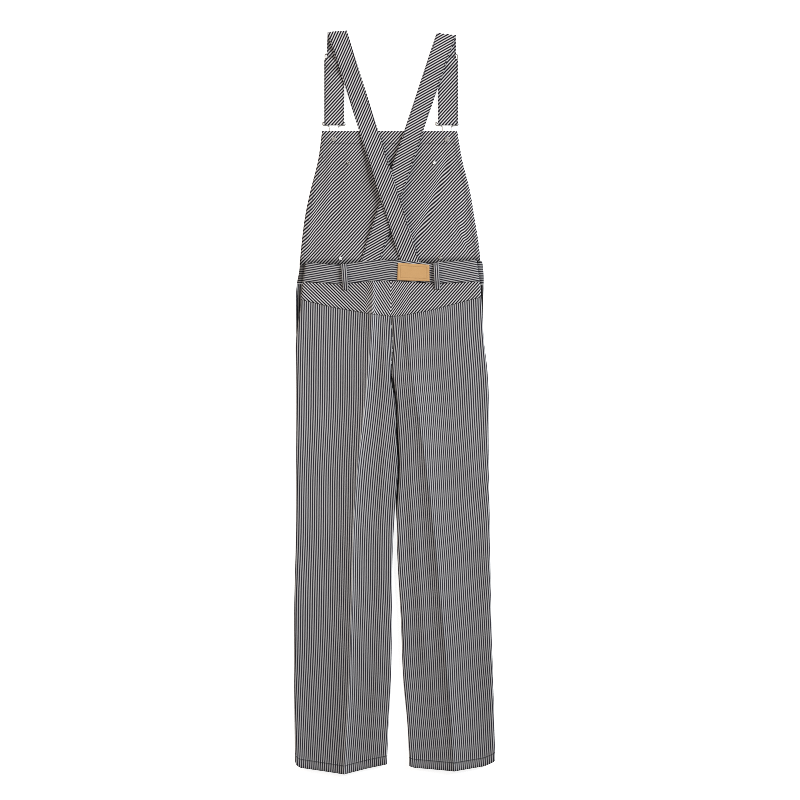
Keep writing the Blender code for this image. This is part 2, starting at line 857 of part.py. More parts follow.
def make_buckle(side):
    curve = bpy.data.curves.new("buckle_" + side, "CURVE")
    curve.dimensions = "3D"
    curve.bevel_depth = WIRE * MM
    curve.bevel_resolution = 2
    curve.resolution_u = 2
    half = list(BUCKLE)
    points = half + [(-x, y, z) for x, y, z in reversed(half[1:-1])]
    spline = curve.splines.new("BEZIER")
    spline.bezier_points.add(len(points) - 1)
    for point, (x, y, z) in zip(spline.bezier_points, points):
        point.co = (x * MM, y * MM, z * MM)
        point.handle_left_type = "AUTO"
        point.handle_right_type = "AUTO"
    spline.use_cyclic_u = True
    obj = add_object("buckle_" + side, curve, "metal")
    obj.location = (BUTTONS[side][0] * MM, BUCKLE_Y * MM, BUCKLE_Z * MM)


def make_straps():
    for side in STRAPS:
        sheet("strap_" + side, strap_rows(side), STRAP_CLOTH, offset=0.0)
        make_slider(side)
        make_buckle(side)


# Belt loops and patch


def make_belt_loops():
    for side, ((top_x, top_y), (low_x, low_y)) in LOOPS.items():
        rows = []
        for down, above, on in LOOP_ROWS:
            middle = top_x + (low_x - top_x) * down
            y = top_y + (low_y - top_y) * down
            row = []
            for k in (-1, 0, 1):
                x = middle + k * LOOP_WIDTH / 2
                under = band_height(x, y) if on == "band" else back_height(side, x, y)
                row.append((x, y, under + above + LOOP_CLOTH))
            rows.append(row)
        sheet("belt_loop_" + side, rows, LOOP_CLOTH)


def make_patch():
    top, bottom = np.array(PATCH_CORNERS["top"]), np.array(PATCH_CORNERS["bottom"])
    rows = []
    for down in np.linspace(0, 1, PATCH_ROWS):
        left, right = top + (bottom - top) * down
        row = []
        for x, y in (left + (right - left) * along for along in np.linspace(0, 1, PATCH_COLUMNS)):
            row.append((x, y, band_height(x, y) + SEAM_GAP + PATCH_LEATHER))
        rows.append(row)
    sheet("leather_patch", rows, PATCH_LEATHER, "leather")


# Build

for old in list(bpy.data.objects):
    bpy.data.objects.remove(old)
garment = new_collection("bib_overalls")
cutters = new_collection("cutters")
centred = bpy.data.objects.new("centred", None)
centred.location = (CENTRE_SHIFT[0] * MM, CENTRE_SHIFT[1] * MM, 0)
garment.objects.link(centred)
materials = {name: make_material(name) for name in COLOURS}
make_legs()
make_yokes()
make_waistbands()
make_bib()
make_pins()
make_straps()
make_belt_loops()
make_patch()
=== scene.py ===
"""Looks of the striped bib overalls that lie face down on a pale floor.

Tables and sizes are in millimetres in the garment's own frame, with its top at +Y and the wearer's
left at -X, as in the model's source. to_metres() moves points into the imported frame.
"""

import math

import bpy
import numpy as np
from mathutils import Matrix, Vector


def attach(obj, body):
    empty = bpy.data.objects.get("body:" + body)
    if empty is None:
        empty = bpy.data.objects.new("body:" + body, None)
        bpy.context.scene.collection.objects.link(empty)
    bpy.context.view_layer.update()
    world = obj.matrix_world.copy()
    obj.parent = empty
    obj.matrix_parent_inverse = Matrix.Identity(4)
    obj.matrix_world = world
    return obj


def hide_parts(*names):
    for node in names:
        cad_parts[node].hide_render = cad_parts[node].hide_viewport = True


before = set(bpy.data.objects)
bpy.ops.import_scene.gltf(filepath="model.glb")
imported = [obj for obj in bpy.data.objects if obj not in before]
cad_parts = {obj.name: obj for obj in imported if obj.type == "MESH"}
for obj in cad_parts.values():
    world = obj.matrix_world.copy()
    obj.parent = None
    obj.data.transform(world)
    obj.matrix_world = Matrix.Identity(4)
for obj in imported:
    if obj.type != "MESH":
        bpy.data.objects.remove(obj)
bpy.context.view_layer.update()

MM = 0.001
# From the garment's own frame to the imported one
CENTRE_SHIFT = (1.03, -0.55, 0.0)
# Stripe period of the cloth coordinates; each piece scales them to its own period
STRIPE = 4.6


class Table:
    """Rows from high to low with named columns, of which y is one; reads a column smoothly at any y."""

    def __init__(self, columns, *rows):
        self.columns = dict(zip(columns.split(), np.array(rows, float)[::-1].T))

    def __call__(self, name, y):
        ys, values = self.columns["y"], self.columns[name]
        slopes = np.gradient(values, ys)
        y = np.clip(y, ys[0], ys[-1])
        low = np.clip(np.searchsorted(ys, y) - 1, 0, len(ys) - 2)
        step = ys[low + 1] - ys[low]
        u = (y - ys[low]) / step
        return (
            (2 * u**3 - 3 * u**2 + 1) * values[low]
            + (u**3 - 2 * u**2 + u) * step * slopes[low]
            + (3 * u**2 - 2 * u**3) * values[low + 1]
            + (u**3 - u**2) * step * slopes[low + 1]
        )


# Cloth, seams and side folds
CLOTH = 1.0
SEAM_GAP = 0.3
FOLD_RADIUS = 3.5
FOLD_REACH = 14.0
FOLD_STEPS = np.linspace(0, FOLD_RADIUS * math.pi / 2, 7)
SEAM_ANGLE = SEAM_GAP / 2 / FOLD_RADIUS
SECTION_YS = np.arange(-760.0, 300.0, 4.0)

# Heights (z) of the back layer, where it rises to the yoke (y), and where the legs part (y)
LEG_TOP = 5.2
YOKE_TOP = 5.8
YOKE_RISE = (120.0, 180.0)
CROTCH_Y = 57.0
CROTCH_OPENING = 34.0
FRONT_PARTS_Y = -190.0
YOKE_SEAM_MIDDLE = 172.0

# Side edges of the front (lower) and back (upper) panels
SIDES = Table(
    "y front_left back_left back_right front_right",
    (290, -190, -178.5, 162.5, 173.0),
    (262, -192, -182.4, 166.0, 176.5),
    (241, -196, -185.5, 169.0, 177.0),
    (221, -198, -187.5, 171.2, 176.5),
    (190, -198, -190.0, 173.6, 175.6),
    (160, -198, -194.0, 175.5, 175.5),
    (130, -198, -198.0, 177.0, 177.0),
    (60, -198, -198.0, 185.0, 185.0),
    (-100, -198, -198.0, 187.0, 187.0),
    (-260, -198.5, -198.5, 189.5, 189.5),
    (-420, -202, -202.0, 192.0, 192.0),
    (-560, -202, -202.0, 196.0, 196.0),
    (-745, -200, -200.0, 201.0, 201.0),
)

# Inner edge of the left half, and how far the right half lies from it
INNER = Table(
    "y left apart",
    (290, -8.4, 0.0),
    (172, -8.4, 0.0),
    (115, -4.6, 0.0),
    (85, -6.4, 0.0),
    (57, -8.4, 0.6),
    (40, -8.0, 5.4),
    (12, -1.6, 3.6),
    (-60, 1.8, 3.2),
    (-135, 5.0, 3.0),
    (-205, 0.6, 3.2),
    (-283, -4.4, 8.0),
    (-440, -6.4, 18.0),
    (-560, -8.4, 24.8),
    (-640, -13.0, 37.0),
    (-745, -17.0, 46.0),
)

# Pressed creases: where they run, how far they stand up, and their flanks' reach on each side
CREASES = Table(
    "y left left_height right right_height",
    (290, -42, 1.4, 10, 0.0),
    (239, -44, 2.0, 14, 0.0),
    (109, -50, 2.4, 24, 0.6),
    (21, -58, 2.8, 38, 2.4),
    (-53, -66, 3.8, 50, 3.6),
    (-121, -74, 4.4, 60, 4.0),
    (-225, -82, 4.8, 73, 4.4),
    (-417, -87, 5.0, 92, 4.6),
    (-560, -91, 5.0, 105, 4.6),
    (-745, -102, 5.2, 118, 4.8),
)
CREASE_FLANK = 17.0
# Along each crease: the left one's dark yarn faded by wear, the right one darkened with painted shade
CREASE_WEAR_AND_SHADE = {"left": 1.0, "right": -0.4}

# Height of the cloth's ramp at each crease, and its reach left and right of the crease
RAMPS = Table(
    "y left right",
    (290, 2.2, 0.0),
    (109, 3.0, 1.2),
    (0, 2.3, 2.0),
    (-225, 1.6, 2.0),
    (-560, 1.5, 1.6),
    (-745, 1.6, 1.3),
)
RAMP_REACHES = {"left": (34.0, 7.0), "right": (22.0, 38.0)}

# Where a stripe of each leg panel runs (x), and the stripe periods on its outer and inner side
LEG_STRIPES = Table(
    "y left left_outer left_inner right right_inner right_outer",
    (290, -137.0, 4.47, 4.52, 92.0, 4.14, 4.38),
    (0, -144.5, 4.46, 4.42, 112.0, 4.10, 4.30),
    (-300, -152.5, 4.43, 4.34, 133.0, 4.10, 4.21),
    (-560, -160.0, 4.38, 4.22, 151.0, 4.10, 4.19),
    (-745, -169.0, 4.22, 4.06, 164.0, 4.06, 4.16),
)

# Seams and edges that run across, as (x, y) from left to right
YOKE_SEAM = (
    (-200, 209), (-130, 191), (-68, 180), (-44, 176), (-8, 172), (12, 173), (71, 184), (124, 198),
    (180, 213),
)
BAND_TOP = ((-184, 280), (-108, 275), (-38, 285), (18, 284), (74, 277), (84, 281), (166, 285))
BAND_BOTTOM = ((-200, 241), (-102, 237), (-50, 242), (4, 243), (68, 239), (88, 238), (180, 242))
HEM = {
    "left": ((-201, -714), (-198, -724), (-190, -730), (-102, -743), (-54, -731), (-16, -723), (0, -723)),
    "right": ((20, -724), (38, -730), (118, -737), (178, -727), (196, -719), (203, -712)),
}
FRONT_HEM = {"left": ((-201, -714), (0, -721)), "right": ((20, -722), (203, -712))}
FRONT_BAND_TOP = ((-192, 277), (172, 283))
FRONT_BAND_BOTTOM = ((-198, 238), (177, 236))
HEM_DEPTH = 18.0
HEM_RISE = 0.75

# Distances of the close rows of points from a hem and from a seam
NEAR_HEM = (0.0, 1.0, 2.5, 6.0, 10.0, 14.0, 16.5, 17.4, 18.2, 19.2, 21.0, 24.0)
NEAR_SEAM = (0.0, 0.8, 2.0, 4.0, 6.5, 7.5, 9.0, 12.0)

# Rows of stitches: distances from the edges that they follow, and of the centre row's end from the hem
EDGES = ("top", "bottom", "left", "right")
HEM_STITCH = 17.2
BAND_STITCH = 2.6
TWIN_ROWS = (1.5, 6.9)
CENTRE_SEAM_END = 785.0
BIB_ROWS = (("top", 24.6), ("left", 8.0), ("right", 8.0))
POCKET_ROWS = (("left", 2.0), ("left", 7.5), ("right", 2.0), ("right", 7.5), ("top", 2.0), ("top", 20.0))

# Waistband
BAND_CLOTH = 2.4
BAND_MIDDLE_TOP = 7.7
BAND_END_TOP = 6.2

# Bib and pocket
BIB = Table(
    "y left right",
    (543, -146, 124),
    (485, -154, 134),
    (421, -170, 150),
    (373, -180, 158),
    (309, -188, 168),
    (277, -191, 171),
)
BIB_TOP = ((-146, 543), (124, 543))
BIB_FOOT = ((-192, 274.2), (172, 280.2))
POCKET = Table("y left right", (489, -103, 88), (300, -117, 98), (279, -118, 99))
POCKET_TOP = ((-103, 489), (88, 489))
POCKET_BOTTOM = ((-118, 279), (99, 282.6))
BIB_CLOTH = 1.3
POCKET_GAP = 0.6
BUTTONS = {"left": (-122.4, 526.0), "right": (103.6, 526.0)}
RIVETS = {
    "top_left": (-93.4, 479.0),
    "top_right": (78.0, 479.0),
    "bottom_left": (-109.4, 288.0),
    "bottom_right": (89.6, 289.0),
}
BUTTON_LIFT = 4.4
BUTTON_SPREAD = 62.0
RIVET_LIFT = 1.3
RIVET_SPREAD = 30.0

# Straps
STRAP_WIDTH = 38.4
STRAP_CLOTH = 1.3
STRAP_CLEAR = 0.4
# Where each strap runs, how far its right edge lies above its middle at the fold (rise),
# and how far it lifts to cross the other
STRAPS = {
    "left": {
        "buckle": -122.4, "shoulder": (-116.0, 742.0), "waist": (33.0, 272.0), "rise": 1.4, "crosses": 1.7
    },
    "right": {
        "buckle": 103.6, "shoulder": (102.0, 736.5), "waist": (-54.0, 272.0), "rise": -2.4, "crosses": 0.0
    },
}
SHOULDER_TURN = 1.5
FRONT_RUN_Z = STRAP_CLOTH / 2
CROSSING = {"y": 395.0, "half": 60.0, "ease": 45.0}
# The strap's path as (y, z). In STRAP_END and STRAP_THROUGH y counts from the slider's middle,
# and STRAP_FROM_BUCKLE has y alone
STRAP_END = (
    (2.45, 2.0), (2.45, 3.0), (2.17, 3.67), (1.5, 3.95), (-0.5, 3.95), (-2.5, 4.6), (-5.5, 5.6),
    (-10.5, 5.6), (-12.5, 5.2), (-19.5, 2.7), (-27.0, 2.25), (-65.0, 2.25),
)
STRAP_TO_BUCKLE = ((595, 2.25), (577, 2.5), (568, 3.6), (562, 4.6))
STRAP_FROM_BUCKLE = (568, 590)
STRAP_THROUGH = (
    (-65.0, 0.65), (-27.0, 0.65), (-19.0, 0.65), (-11.5, 3.7), (-10.5, 3.95), (-6.4, 3.95),
    (-3.1, 0.65), (4.5, 0.65), (8.4, 3.95), (12.6, 3.95), (20.0, 0.65), (30.0, 0.65),
)
STRAP_BACK = (
    (745, 3.65), (725, 4.2), (706, 6.0), (693, 7.1), (686, 7.35), (677, 7.35), (668, 6.4),
    (652, 4.2), (636, 3.95), (600, 3.95), (540, 3.95),
)
STRAP_LANDS = (600.0, 552.0)
STRAP_ARCH = 4.6
STRAP_HALF_ACROSS = (0.3, 0.6, 0.76, 0.8, 0.9, 0.965, 1.0)
STRAP_ACROSS = np.array([-u for u in reversed(STRAP_HALF_ACROSS)] + [0.0] + list(STRAP_HALF_ACROSS))

# The strap's lap between its slider and buckle, a little wider than the rest, and its middle
LAP_WIDTH = 40.0
LAP_X = {"left": -121.8, "right": 105.6}
BUCKLE_Y = 557.0
BUCKLE_Z = 2.8
BUCKLE_TURN = 2.5
SLIDER_Y = {"left": 686.5, "right": 686.0}
SLIDER_Z = 2.3
SLIDER_WIDTH = 42.0
SLIDER_ENDS = (-8.5, 11.0)
SLIDER_SLOTS = ((-6.5, -1.5), (1.5, 9.0))
SLIDER_SLOT_WIDTH = 39.6

# Buckle wire: its radius, and its right half as x, y and z from the middle of its bar
WIRE = 1.2
BUCKLE = (
    (0.0, 0.0, 0.0), (10.0, 0.0, 0.0), (18.5, 0.3, 0.0), (21.6, 2.6, 0.0), (22.6, -0.6, 0.0),
    (20.6, -3.0, 0.1), (14.5, -3.6, 0.2), (9.8, -5.2, 0.5), (8.6, -11.0, 0.9), (8.4, -17.0, 1.0),
    (6.8, -24.0, 1.0), (4.6, -29.5, 1.0), (2.9, -33.6, 1.0), (0.0, -35.2, 1.0),
)

# Belt loops and patch
LOOP_WIDTH = 11.5
LOOPS = {"left": ((-103.0, 277.0), (-99.0, 225.0)), "right": ((81.5, 278.0), (84.5, 226.0))}
# Share of the way down and rise above what lies below
LOOP_ROWS = (
    (0.00, 0.3), (0.10, 0.3), (0.20, 2.3), (0.35, 2.8), (0.55, 2.8), (0.68, 2.6), (0.86, 1.0),
    (0.92, 0.3), (1.00, 0.3),
)
LOOP_CLOTH = 1.3
LOOP_PERIOD = 4.2
LOOP_TO_YOKE = 0.68
LOOP_TACKS = (1.6, 2.3, 3.0)
PATCH = {"top": ((5.2, 279.0), (68.2, 275.2)), "bottom": ((4.0, 244.2), (68.6, 241.8))}
PATCH_LEATHER = 1.4
PATCH_GAP = 0.3
PATCH_SIZE = (63.5, 34.0)
PATCH_INSET = 5.4

# Stripes of flat pieces: angle of the line across them (degrees, turned down from +X) and period
STRIPES = {
    "back_yoke_left": (-45.5, 4.48),
    "back_yoke_right": (42.0, 4.48),
    "yoke_steep": (-33.0, 4.37),
    "bib": (42.8, 4.58),
    "bib_pocket": (42.8, 4.58),
    "strap_front": (42.4, 4.80),
    "strap_back": (42.0, 4.70),
}

# Bands: angles of the back one's stripes left and right of BAND_BEND_X, and both bands' period
BAND_STRIPE_TURNS = (80.0, 78.0)
BAND_BEND_X = -6.0
BAND_PERIOD = 4.48
# Where the left yoke's stripes begin to bunch
YOKE_BEND = (-62.0, 210.0)

# Ribs and picks of the weave, in radians a metre of cloth
RIBS = 9000.0
PICKS = 7800.0
# Share of a crisper stripe in the soft one, yarn where it is worn, and the eye's spacing of tones
STRIPE_CRISPNESS = 0.3
FADED_YARN = (0.42, 0.41, 0.42)
EYE_GAMMA = 2.2

# Soft folds laid by hand: corners (x, y), half width and height of each; negative heights are troughs
FOLDS = {
    "back_leg_left": (
        (((-20, 120), (-18, 40), (-20, -120), (-24, -300), (-28, -520), (-34, -735)), 11.0, 2.0),
        (((-120, 60), (-128, -160), (-134, -420), (-140, -700)), 26.0, -0.9),
        (((-38, -560), (-46, -640), (-52, -725)), 8.0, 0.8),
        (((-160, 160), (-150, 60), (-158, -60)), 14.0, 0.7),
        (((-30, 160), (-34, 100), (-46, 20)), 7.0, -0.8),
        (((-43, 300), (-43, 240), (-44, 190), (-46, 120)), 7.0, 1.5),
    ),
    "back_leg_right": (
        (((20, 40), (22, -60), (30, -200), (46, -330), (62, -520)), 12.0, 1.9),
        (((60, 160), (80, 40), (100, -80), (118, -260)), 20.0, -0.8),
        (((140, 190), (150, 90), (148, -20), (156, -160)), 14.0, 0.9),
        (((150, -300), (152, -460), (160, -640)), 22.0, -0.8),
        (((74, -560), (84, -640), (92, -725)), 9.0, 0.8),
        (((8, 165), (14, 120), (20, 70)), 6.0, -0.9),
    ),
    "bib": (
        (((130, 430), (122, 380), (134, 330)), 5.0, 0.8),
        (((142, 400), (138, 350), (146, 300)), 4.5, -0.7),
        (((112, 400), (110, 360), (118, 310)), 6.0, 0.6),
        (((-128, 520), (-132, 460), (-136, 400)), 7.0, 0.7),
        (((-100, 520), (-112, 450), (-118, 380)), 9.0, -0.7),
        (((-160, 420), (-168, 360), (-174, 300)), 6.0, 0.6),
        (((90, 520), (104, 460), (112, 420)), 8.0, -0.6),
        (((105, 490), (84, 430), (60, 370), (36, 320)), 7.0, -0.9),
    ),
}

# Places where a wrinkle drags the stripes sideways: corners (x, y), half width, shift
PULLS = {
    "bib": (
        (((105, 490), (84, 430), (60, 370), (36, 320)), 8.0, 3.6),
        (((150, 470), (138, 400), (142, 330)), 12.0, -2.4),
        (((-118, 500), (-126, 430), (-134, 360)), 14.0, 2.2),
        (((-160, 420), (-172, 350), (-176, 300)), 9.0, -2.8),
        (((126, 360), (134, 330), (150, 300)), 6.0, 2.4),
    ),
    "back_leg_left": ((((-14, 170), (-16, 120), (-12, 60)), 5.0, 1.2),),
    "back_leg_right": ((((2, 170), (6, 120), (-2, 60)), 6.0, -1.6),),
}

# Studio: metres, watts and colours
FLOOR_REACH = 6.0
FLOOR_Z = -0.0006
LIGHT_SIZE = (1.6, 2.4)
LIGHTS = (
    ("key", (3.9, 1.9, 1.9), 315.0, (0.90, 0.955, 1.0)),
    ("fill", (-3.9, 1.2, 1.9), 94.0, (1.0, 0.89, 0.76)),
)
SKY_COLOUR = (0.97, 0.98, 1.0)
SKY_STRENGTH = 0.22

# Camera: sensor (mm), height (m), picture (px), photo's scale (mm a pixel) and the pixel of x = y = 0
SENSOR = 36.0
CAMERA_HEIGHT = 9.0
PICTURE = 800
PIXEL = 2.0
ORIGIN_PIXEL = (395.2, 402.5)


def ease(u):
    u = np.clip(u, 0.0, 1.0)
    return u * u * (3 - 2 * u)


def bell(distance, reach):
    return np.exp(-((distance / reach) ** 2))


def falloff(distance, reach):
    return np.exp(-distance / reach)


def edge_shade(distance, depth, reach):
    """Painted shade: a negative wear value that darkens cloth beside an edge, where the edge lies in
    shadow.
    """
    return -depth * falloff(distance, reach)


def across(line, x):
    """y of a line of (x, y) points."""
    return np.interp(x, [p[0] for p in line], [p[1] for p in line])


def lowered(line):
    """The same line below a seam's gap."""
    return tuple((x, y - SEAM_GAP) for x, y in line)


def inward(side):
    return 1 if side == "left" else -1


def parted(y):
    """0 where one seam joins the legs, 1 where they are apart."""
    return ease((CROTCH_Y - y) / CROTCH_OPENING)


def inner_edge(layer, side, y):
    edge = INNER("left", y)
    apart = np.maximum(INNER("apart", y), 0.0)
    if layer == "front":
        apart = apart * ease((FRONT_PARTS_Y - y) / 60)
    return edge if side == "left" else edge + apart


def flat_ends(layer, side, y):
    """x of both ends of a half's flat part, between its side fold and its inner edge or fold."""
    radius = inward(side) * FOLD_RADIUS
    outer = SIDES(layer + "_" + side, y) + radius
    return outer, inner_edge(layer, side, y) - radius * np.sin(parted(y) * math.pi / 2)


def hand_laid(folds, soft, x, y):
    """Sum of folds at x, y; soft is the length over which each begins and ends."""
    total = np.zeros_like(x)
    for corners, reach, height in folds:
        xs, ys = np.array(corners, float)[::-1].T
        ends = ease((y - ys[0]) / soft + 0.5) * ease((ys[-1] - y) / soft + 0.5)
        total += height * ends * bell(x - np.interp(y, ys, xs), reach)
    return total


def cloth_waver(x, y, size, seed, waves=9):
    """Small uneven swelling of cloth that lies on a table: a few crossing waves."""
    rng = np.random.default_rng(seed)
    total = np.zeros_like(x)
    for _ in range(waves):
        turn = rng.uniform(0, math.pi)
        length = size * rng.uniform(0.6, 1.8)
        phase = rng.uniform(0, 2 * math.pi)
        total += np.sin((x * math.cos(turn) + y * math.sin(turn)) * 2 * math.pi / length + phase)
    return total / waves


def dragged(name, x, y, size, amount, seed):
    """x as the stripes see it: cloth that lies on a table never keeps its grain quite straight."""
    return x + amount * cloth_waver(x, y, size, seed) + hand_laid(PULLS.get(name, ()), 50, x, y)


# Materials


class Finish:
    """A material, with short forms for the nodes that its colour, roughness and relief are made of."""

    def __init__(self, name):
        self.material = bpy.data.materials.new(name)
        self.material.use_nodes = True
        self.tree = self.material.node_tree
        self.shader = self.tree.nodes["Principled BSDF"]

    def plug(self, target, inputs):
        """Sets sockets, by name or number, to values or to other nodes' outputs."""
        for key, value in inputs.items():
            if isinstance(value, bpy.types.NodeSocket):
                self.tree.links.new(value, target.inputs[key])
            else:
                target.inputs[key].default_value = value

    def add(self, kind, inputs=None, **settings):
        made = self.tree.nodes.new("ShaderNode" + kind)
        for key, value in settings.items():
            setattr(made, key, value)
        self.plug(made, inputs or {})
        return made.outputs

    def maths(self, operation, *values):
        return self.add("Math", dict(enumerate(values)), operation=operation)[0]

    def times_plus(self, value, factor, plus):
        return self.maths("MULTIPLY_ADD", value, factor, plus)

    def noise(self, place, scale, detail):
        return self.add("TexNoise", {"Vector": place, "Scale": scale, "Detail": detail})[0]

    def streaks(self, place, stretch, detail):
        """Noise that is drawn out along the axis with the smallest stretch."""
        stretched = self.add("VectorMath", {0: place, 1: stretch}, operation="MULTIPLY")[0]
        return self.noise(stretched, 1.0, detail)

    def mix(self, factor, a, b, blend="MIX"):
        return self.add("Mix", {0: factor, 6: a, 7: b}, data_type="RGBA", blend_type=blend)[2]

    # The point attribute that holds real wear and painted shade
    def wear_and_shade(self):
        return self.add("Attribute", attribute_name="wear_and_shade")["Fac"]

    def done(self, colour, roughness, height, strength, depth, others=None):
        """Plugs everything into the shader; depth is the relief's, in metres."""
        relief = self.add("Bump", {"Strength": strength, "Distance": depth, "Height": height})[0]
        self.plug(self.shader, {"Base Color": colour, "Roughness": roughness, "Normal": relief})
        self.plug(self.shader, others or {})
        return self.material


def opaque(colour, shade=1.0):
    return tuple(c * shade for c in colour) + (1.0,)


def eye_tone(colour):
    """A colour as the eye spaces it, with alpha, for blends that look even."""
    return tuple(c ** (1 / EYE_GAMMA) for c in colour) + (1.0,)


def striped_cloth(name, dark, light, gloss):
    """Yarn-dyed twill: stripes and weave follow the piece's own cloth coordinates."""
    made = Finish(name)
    place = made.add("UVMap", uv_map="cloth")[0]
    u, v = made.add("SeparateXYZ", {0: place})[:2]
    drift = made.maths("SUBTRACT", made.noise(place, 55.0, 2.0), 0.5)
    bent = made.maths("ADD", u, made.maths("MULTIPLY", drift, 0.0006))
    turn = made.maths("MULTIPLY", bent, 2 * math.pi / (STRIPE * MM))
    wave = made.times_plus(made.maths("COSINE", turn), 0.5, 0.5)
    crisp = made.add("MapRange", {0: wave}, interpolation_type="SMOOTHSTEP")[0]
    stripe = made.times_plus(made.maths("SUBTRACT", crisp, wave), STRIPE_CRISPNESS, wave)
    diagonal = made.maths("ADD", u, made.maths("MULTIPLY", v, 0.7))
    rib = made.maths("SINE", made.maths("MULTIPLY", diagonal, RIBS))
    pick = made.maths("SINE", made.maths("MULTIPLY", v, PICKS))
    weave = made.times_plus(rib, 0.6, made.maths("MULTIPLY", pick, 0.4))
    slubs = made.streaks(place, (1400.0, 90.0, 1.0), 3.0)
    wash = made.noise(place, 9.0, 4.0)
    wear_and_shade = made.wear_and_shade()
    shade = made.times_plus(weave, 0.07, made.times_plus(slubs, 0.34, 0.83))
    shade = made.maths("MULTIPLY", shade, made.times_plus(wash, 0.24, 0.88))
    # Below zero the attribute is painted shade that darkens the cloth; above zero it fades the dark yarn
    painted_shade = made.times_plus(made.maths("MINIMUM", wear_and_shade, 0.0), 0.85, 1.0)
    shade = made.maths("MULTIPLY", shade, painted_shade)
    faded = made.maths("MULTIPLY", made.maths("MAXIMUM", wear_and_shade, 0.0), made.times_plus(slubs, 0.8, 0.1))
    dark_yarn = made.mix(faded, eye_tone(dark), eye_tone(FADED_YARN))
    blend = made.mix(stripe, dark_yarn, eye_tone(light))
    yarn = made.add("Gamma", {0: blend, 1: EYE_GAMMA})[0]
    grey = made.add("CombineColor", {0: shade, 1: shade, 2: shade})[0]
    colour = made.mix(1.0, yarn, grey, "MULTIPLY")
    height = made.times_plus(weave, 0.5, made.times_plus(stripe, 0.35, slubs))
    sheen = {"Specular IOR Level": gloss, "Sheen Weight": gloss / 4, "Sheen Roughness": 0.5}
    return made.done(colour, made.times_plus(slubs, 0.14, 0.80), height, 0.35, 0.00009, sheen)


def thread_cloth(name, colour):
    made = Finish(name)
    twist = made.noise(made.add("TexCoord")["Object"], 900.0, 2.0)
    return made.done(made.mix(twist, opaque(colour), opaque(colour, 2.2)), 0.6, twist, 0.4, 0.0001)


def leather(name):
    made = Finish(name)
    place = made.add("TexCoord")["Object"]
    pores = made.add("TexVoronoi", {"Vector": place, "Scale": 1300.0})[0]
    fine = made.noise(place, 1500.0, 4.0)
    base = made.mix(made.noise(place, 60.0, 5.0), opaque((0.66, 0.36, 0.135)), opaque((0.76, 0.44, 0.185)))
    base = made.mix(made.maths("MULTIPLY", made.wear_and_shade(), 0.75), base, opaque((0.36, 0.17, 0.055)))
    height = made.times_plus(pores, 0.7, fine)
    return made.done(base, made.times_plus(fine, 0.3, 0.38), height, 0.35, 0.0002)


def metal(name, colour, metallic):
    made = Finish(name)
    place = made.add("TexCoord")["Object"]
    stain = made.noise(place, 420.0, 5.0)
    scratches = made.streaks(place, (5000.0, 300.0, 900.0), 2.0)
    colour = made.mix(stain, opaque(colour), opaque(colour, 0.72))
    rough = made.times_plus(stain, 0.3, 0.25)
    return made.done(colour, rough, scratches, 0.2, 0.0001, {"Metallic": metallic})


CRISP_TWILL = striped_cloth("striped_twill_crisp", (0.0028, 0.0016, 0.0045), (0.82, 0.797, 0.777), 0.08)
WORN_TWILL = striped_cloth("striped_twill_worn", (0.0175, 0.0152, 0.0228), (0.61, 0.594, 0.581), 0.14)
THREAD = thread_cloth("dark_thread", (0.012, 0.012, 0.022))
# Pale marks that are a painted highlight on the crests of the centre-back seam's puckers
PUCKER_HIGHLIGHT = thread_cloth("painted_pucker_highlight", (0.26, 0.256, 0.25))
TAN_THREAD = thread_cloth("tan_thread", (0.36, 0.18, 0.06))
LEATHER = leather("tan_leather")
BUTTON_METAL = metal("button_backs", (0.66, 0.61, 0.57), 0.5)
# A near-white diffuse nickel: a painted glint on two of the four like rivets
GLINT_PAINTED_METAL = metal("nickel_painted_glint", (0.97, 0.96, 0.94), 0.1)
WIRE_METAL = metal("nickel_wire", (0.60, 0.58, 0.55), 0.6)
RIVET_METAL = metal("rivet_nickel", (0.62, 0.57, 0.52), 0.7)
SLIDER_METAL = metal("slider_steel", (0.50, 0.46, 0.42), 0.6)
# Rivets top right and bottom left carry the painted glint; the other two the plain rivet nickel
HARDWARE = {
    "bib_button_left": BUTTON_METAL,
    "bib_button_right": BUTTON_METAL,
    "rivet_top_left": RIVET_METAL,
    "rivet_top_right": GLINT_PAINTED_METAL,
    "rivet_bottom_left": GLINT_PAINTED_METAL,
    "rivet_bottom_right": RIVET_METAL,
}


# Geometry


def to_metres(points):
    return (np.asarray(points, float) + CENTRE_SHIFT) * MM


def hand_over(piece, nodes):
    """Links a piece to the scene, hangs it from the root body, and hides the model's parts that it stands
    for.
    """
    bpy.context.scene.collection.objects.link(piece)
    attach(piece, "root")
    if nodes:
        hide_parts(*nodes)


def add_piece(name, vertices, faces, material, nodes=(), loops=None, wear_and_shade=None):
    """A mesh with the cloth coordinates of its faces' corners, and the wear and painted shade of its
    points.
    """
    mesh = bpy.data.meshes.new(name)
    mesh.from_pydata(to_metres(vertices).tolist(), [], faces)
    if loops is not None:
        layer = mesh.uv_layers.new(name="cloth")
        layer.data.foreach_set("uv", (np.asarray(loops, float) * MM).astype(np.float32).ravel())
    if wear_and_shade is not None:
        attribute = mesh.attributes.new("wear_and_shade", "FLOAT", "POINT")
        attribute.data.foreach_set("value", np.clip(wear_and_shade, -1, 1).astype(np.float32).ravel())
    mesh.materials.append(material)
    mesh.shade_smooth()
    piece = bpy.data.objects.new(name, mesh)
    hand_over(piece, nodes)
    return piece


def thicken(piece, thickness, offset=-1.0):
    shell = piece.modifiers.new("Thickness", "SOLIDIFY")
    shell.thickness = thickness * MM
    shell.offset = offset


def grid_faces(rows, columns):
    r, c = np.meshgrid(np.arange(rows - 1), np.arange(columns - 1), indexing="ij")
    first = (r * columns + c).ravel()
    return np.stack([first, first + columns, first + columns + 1, first + 1], 1)


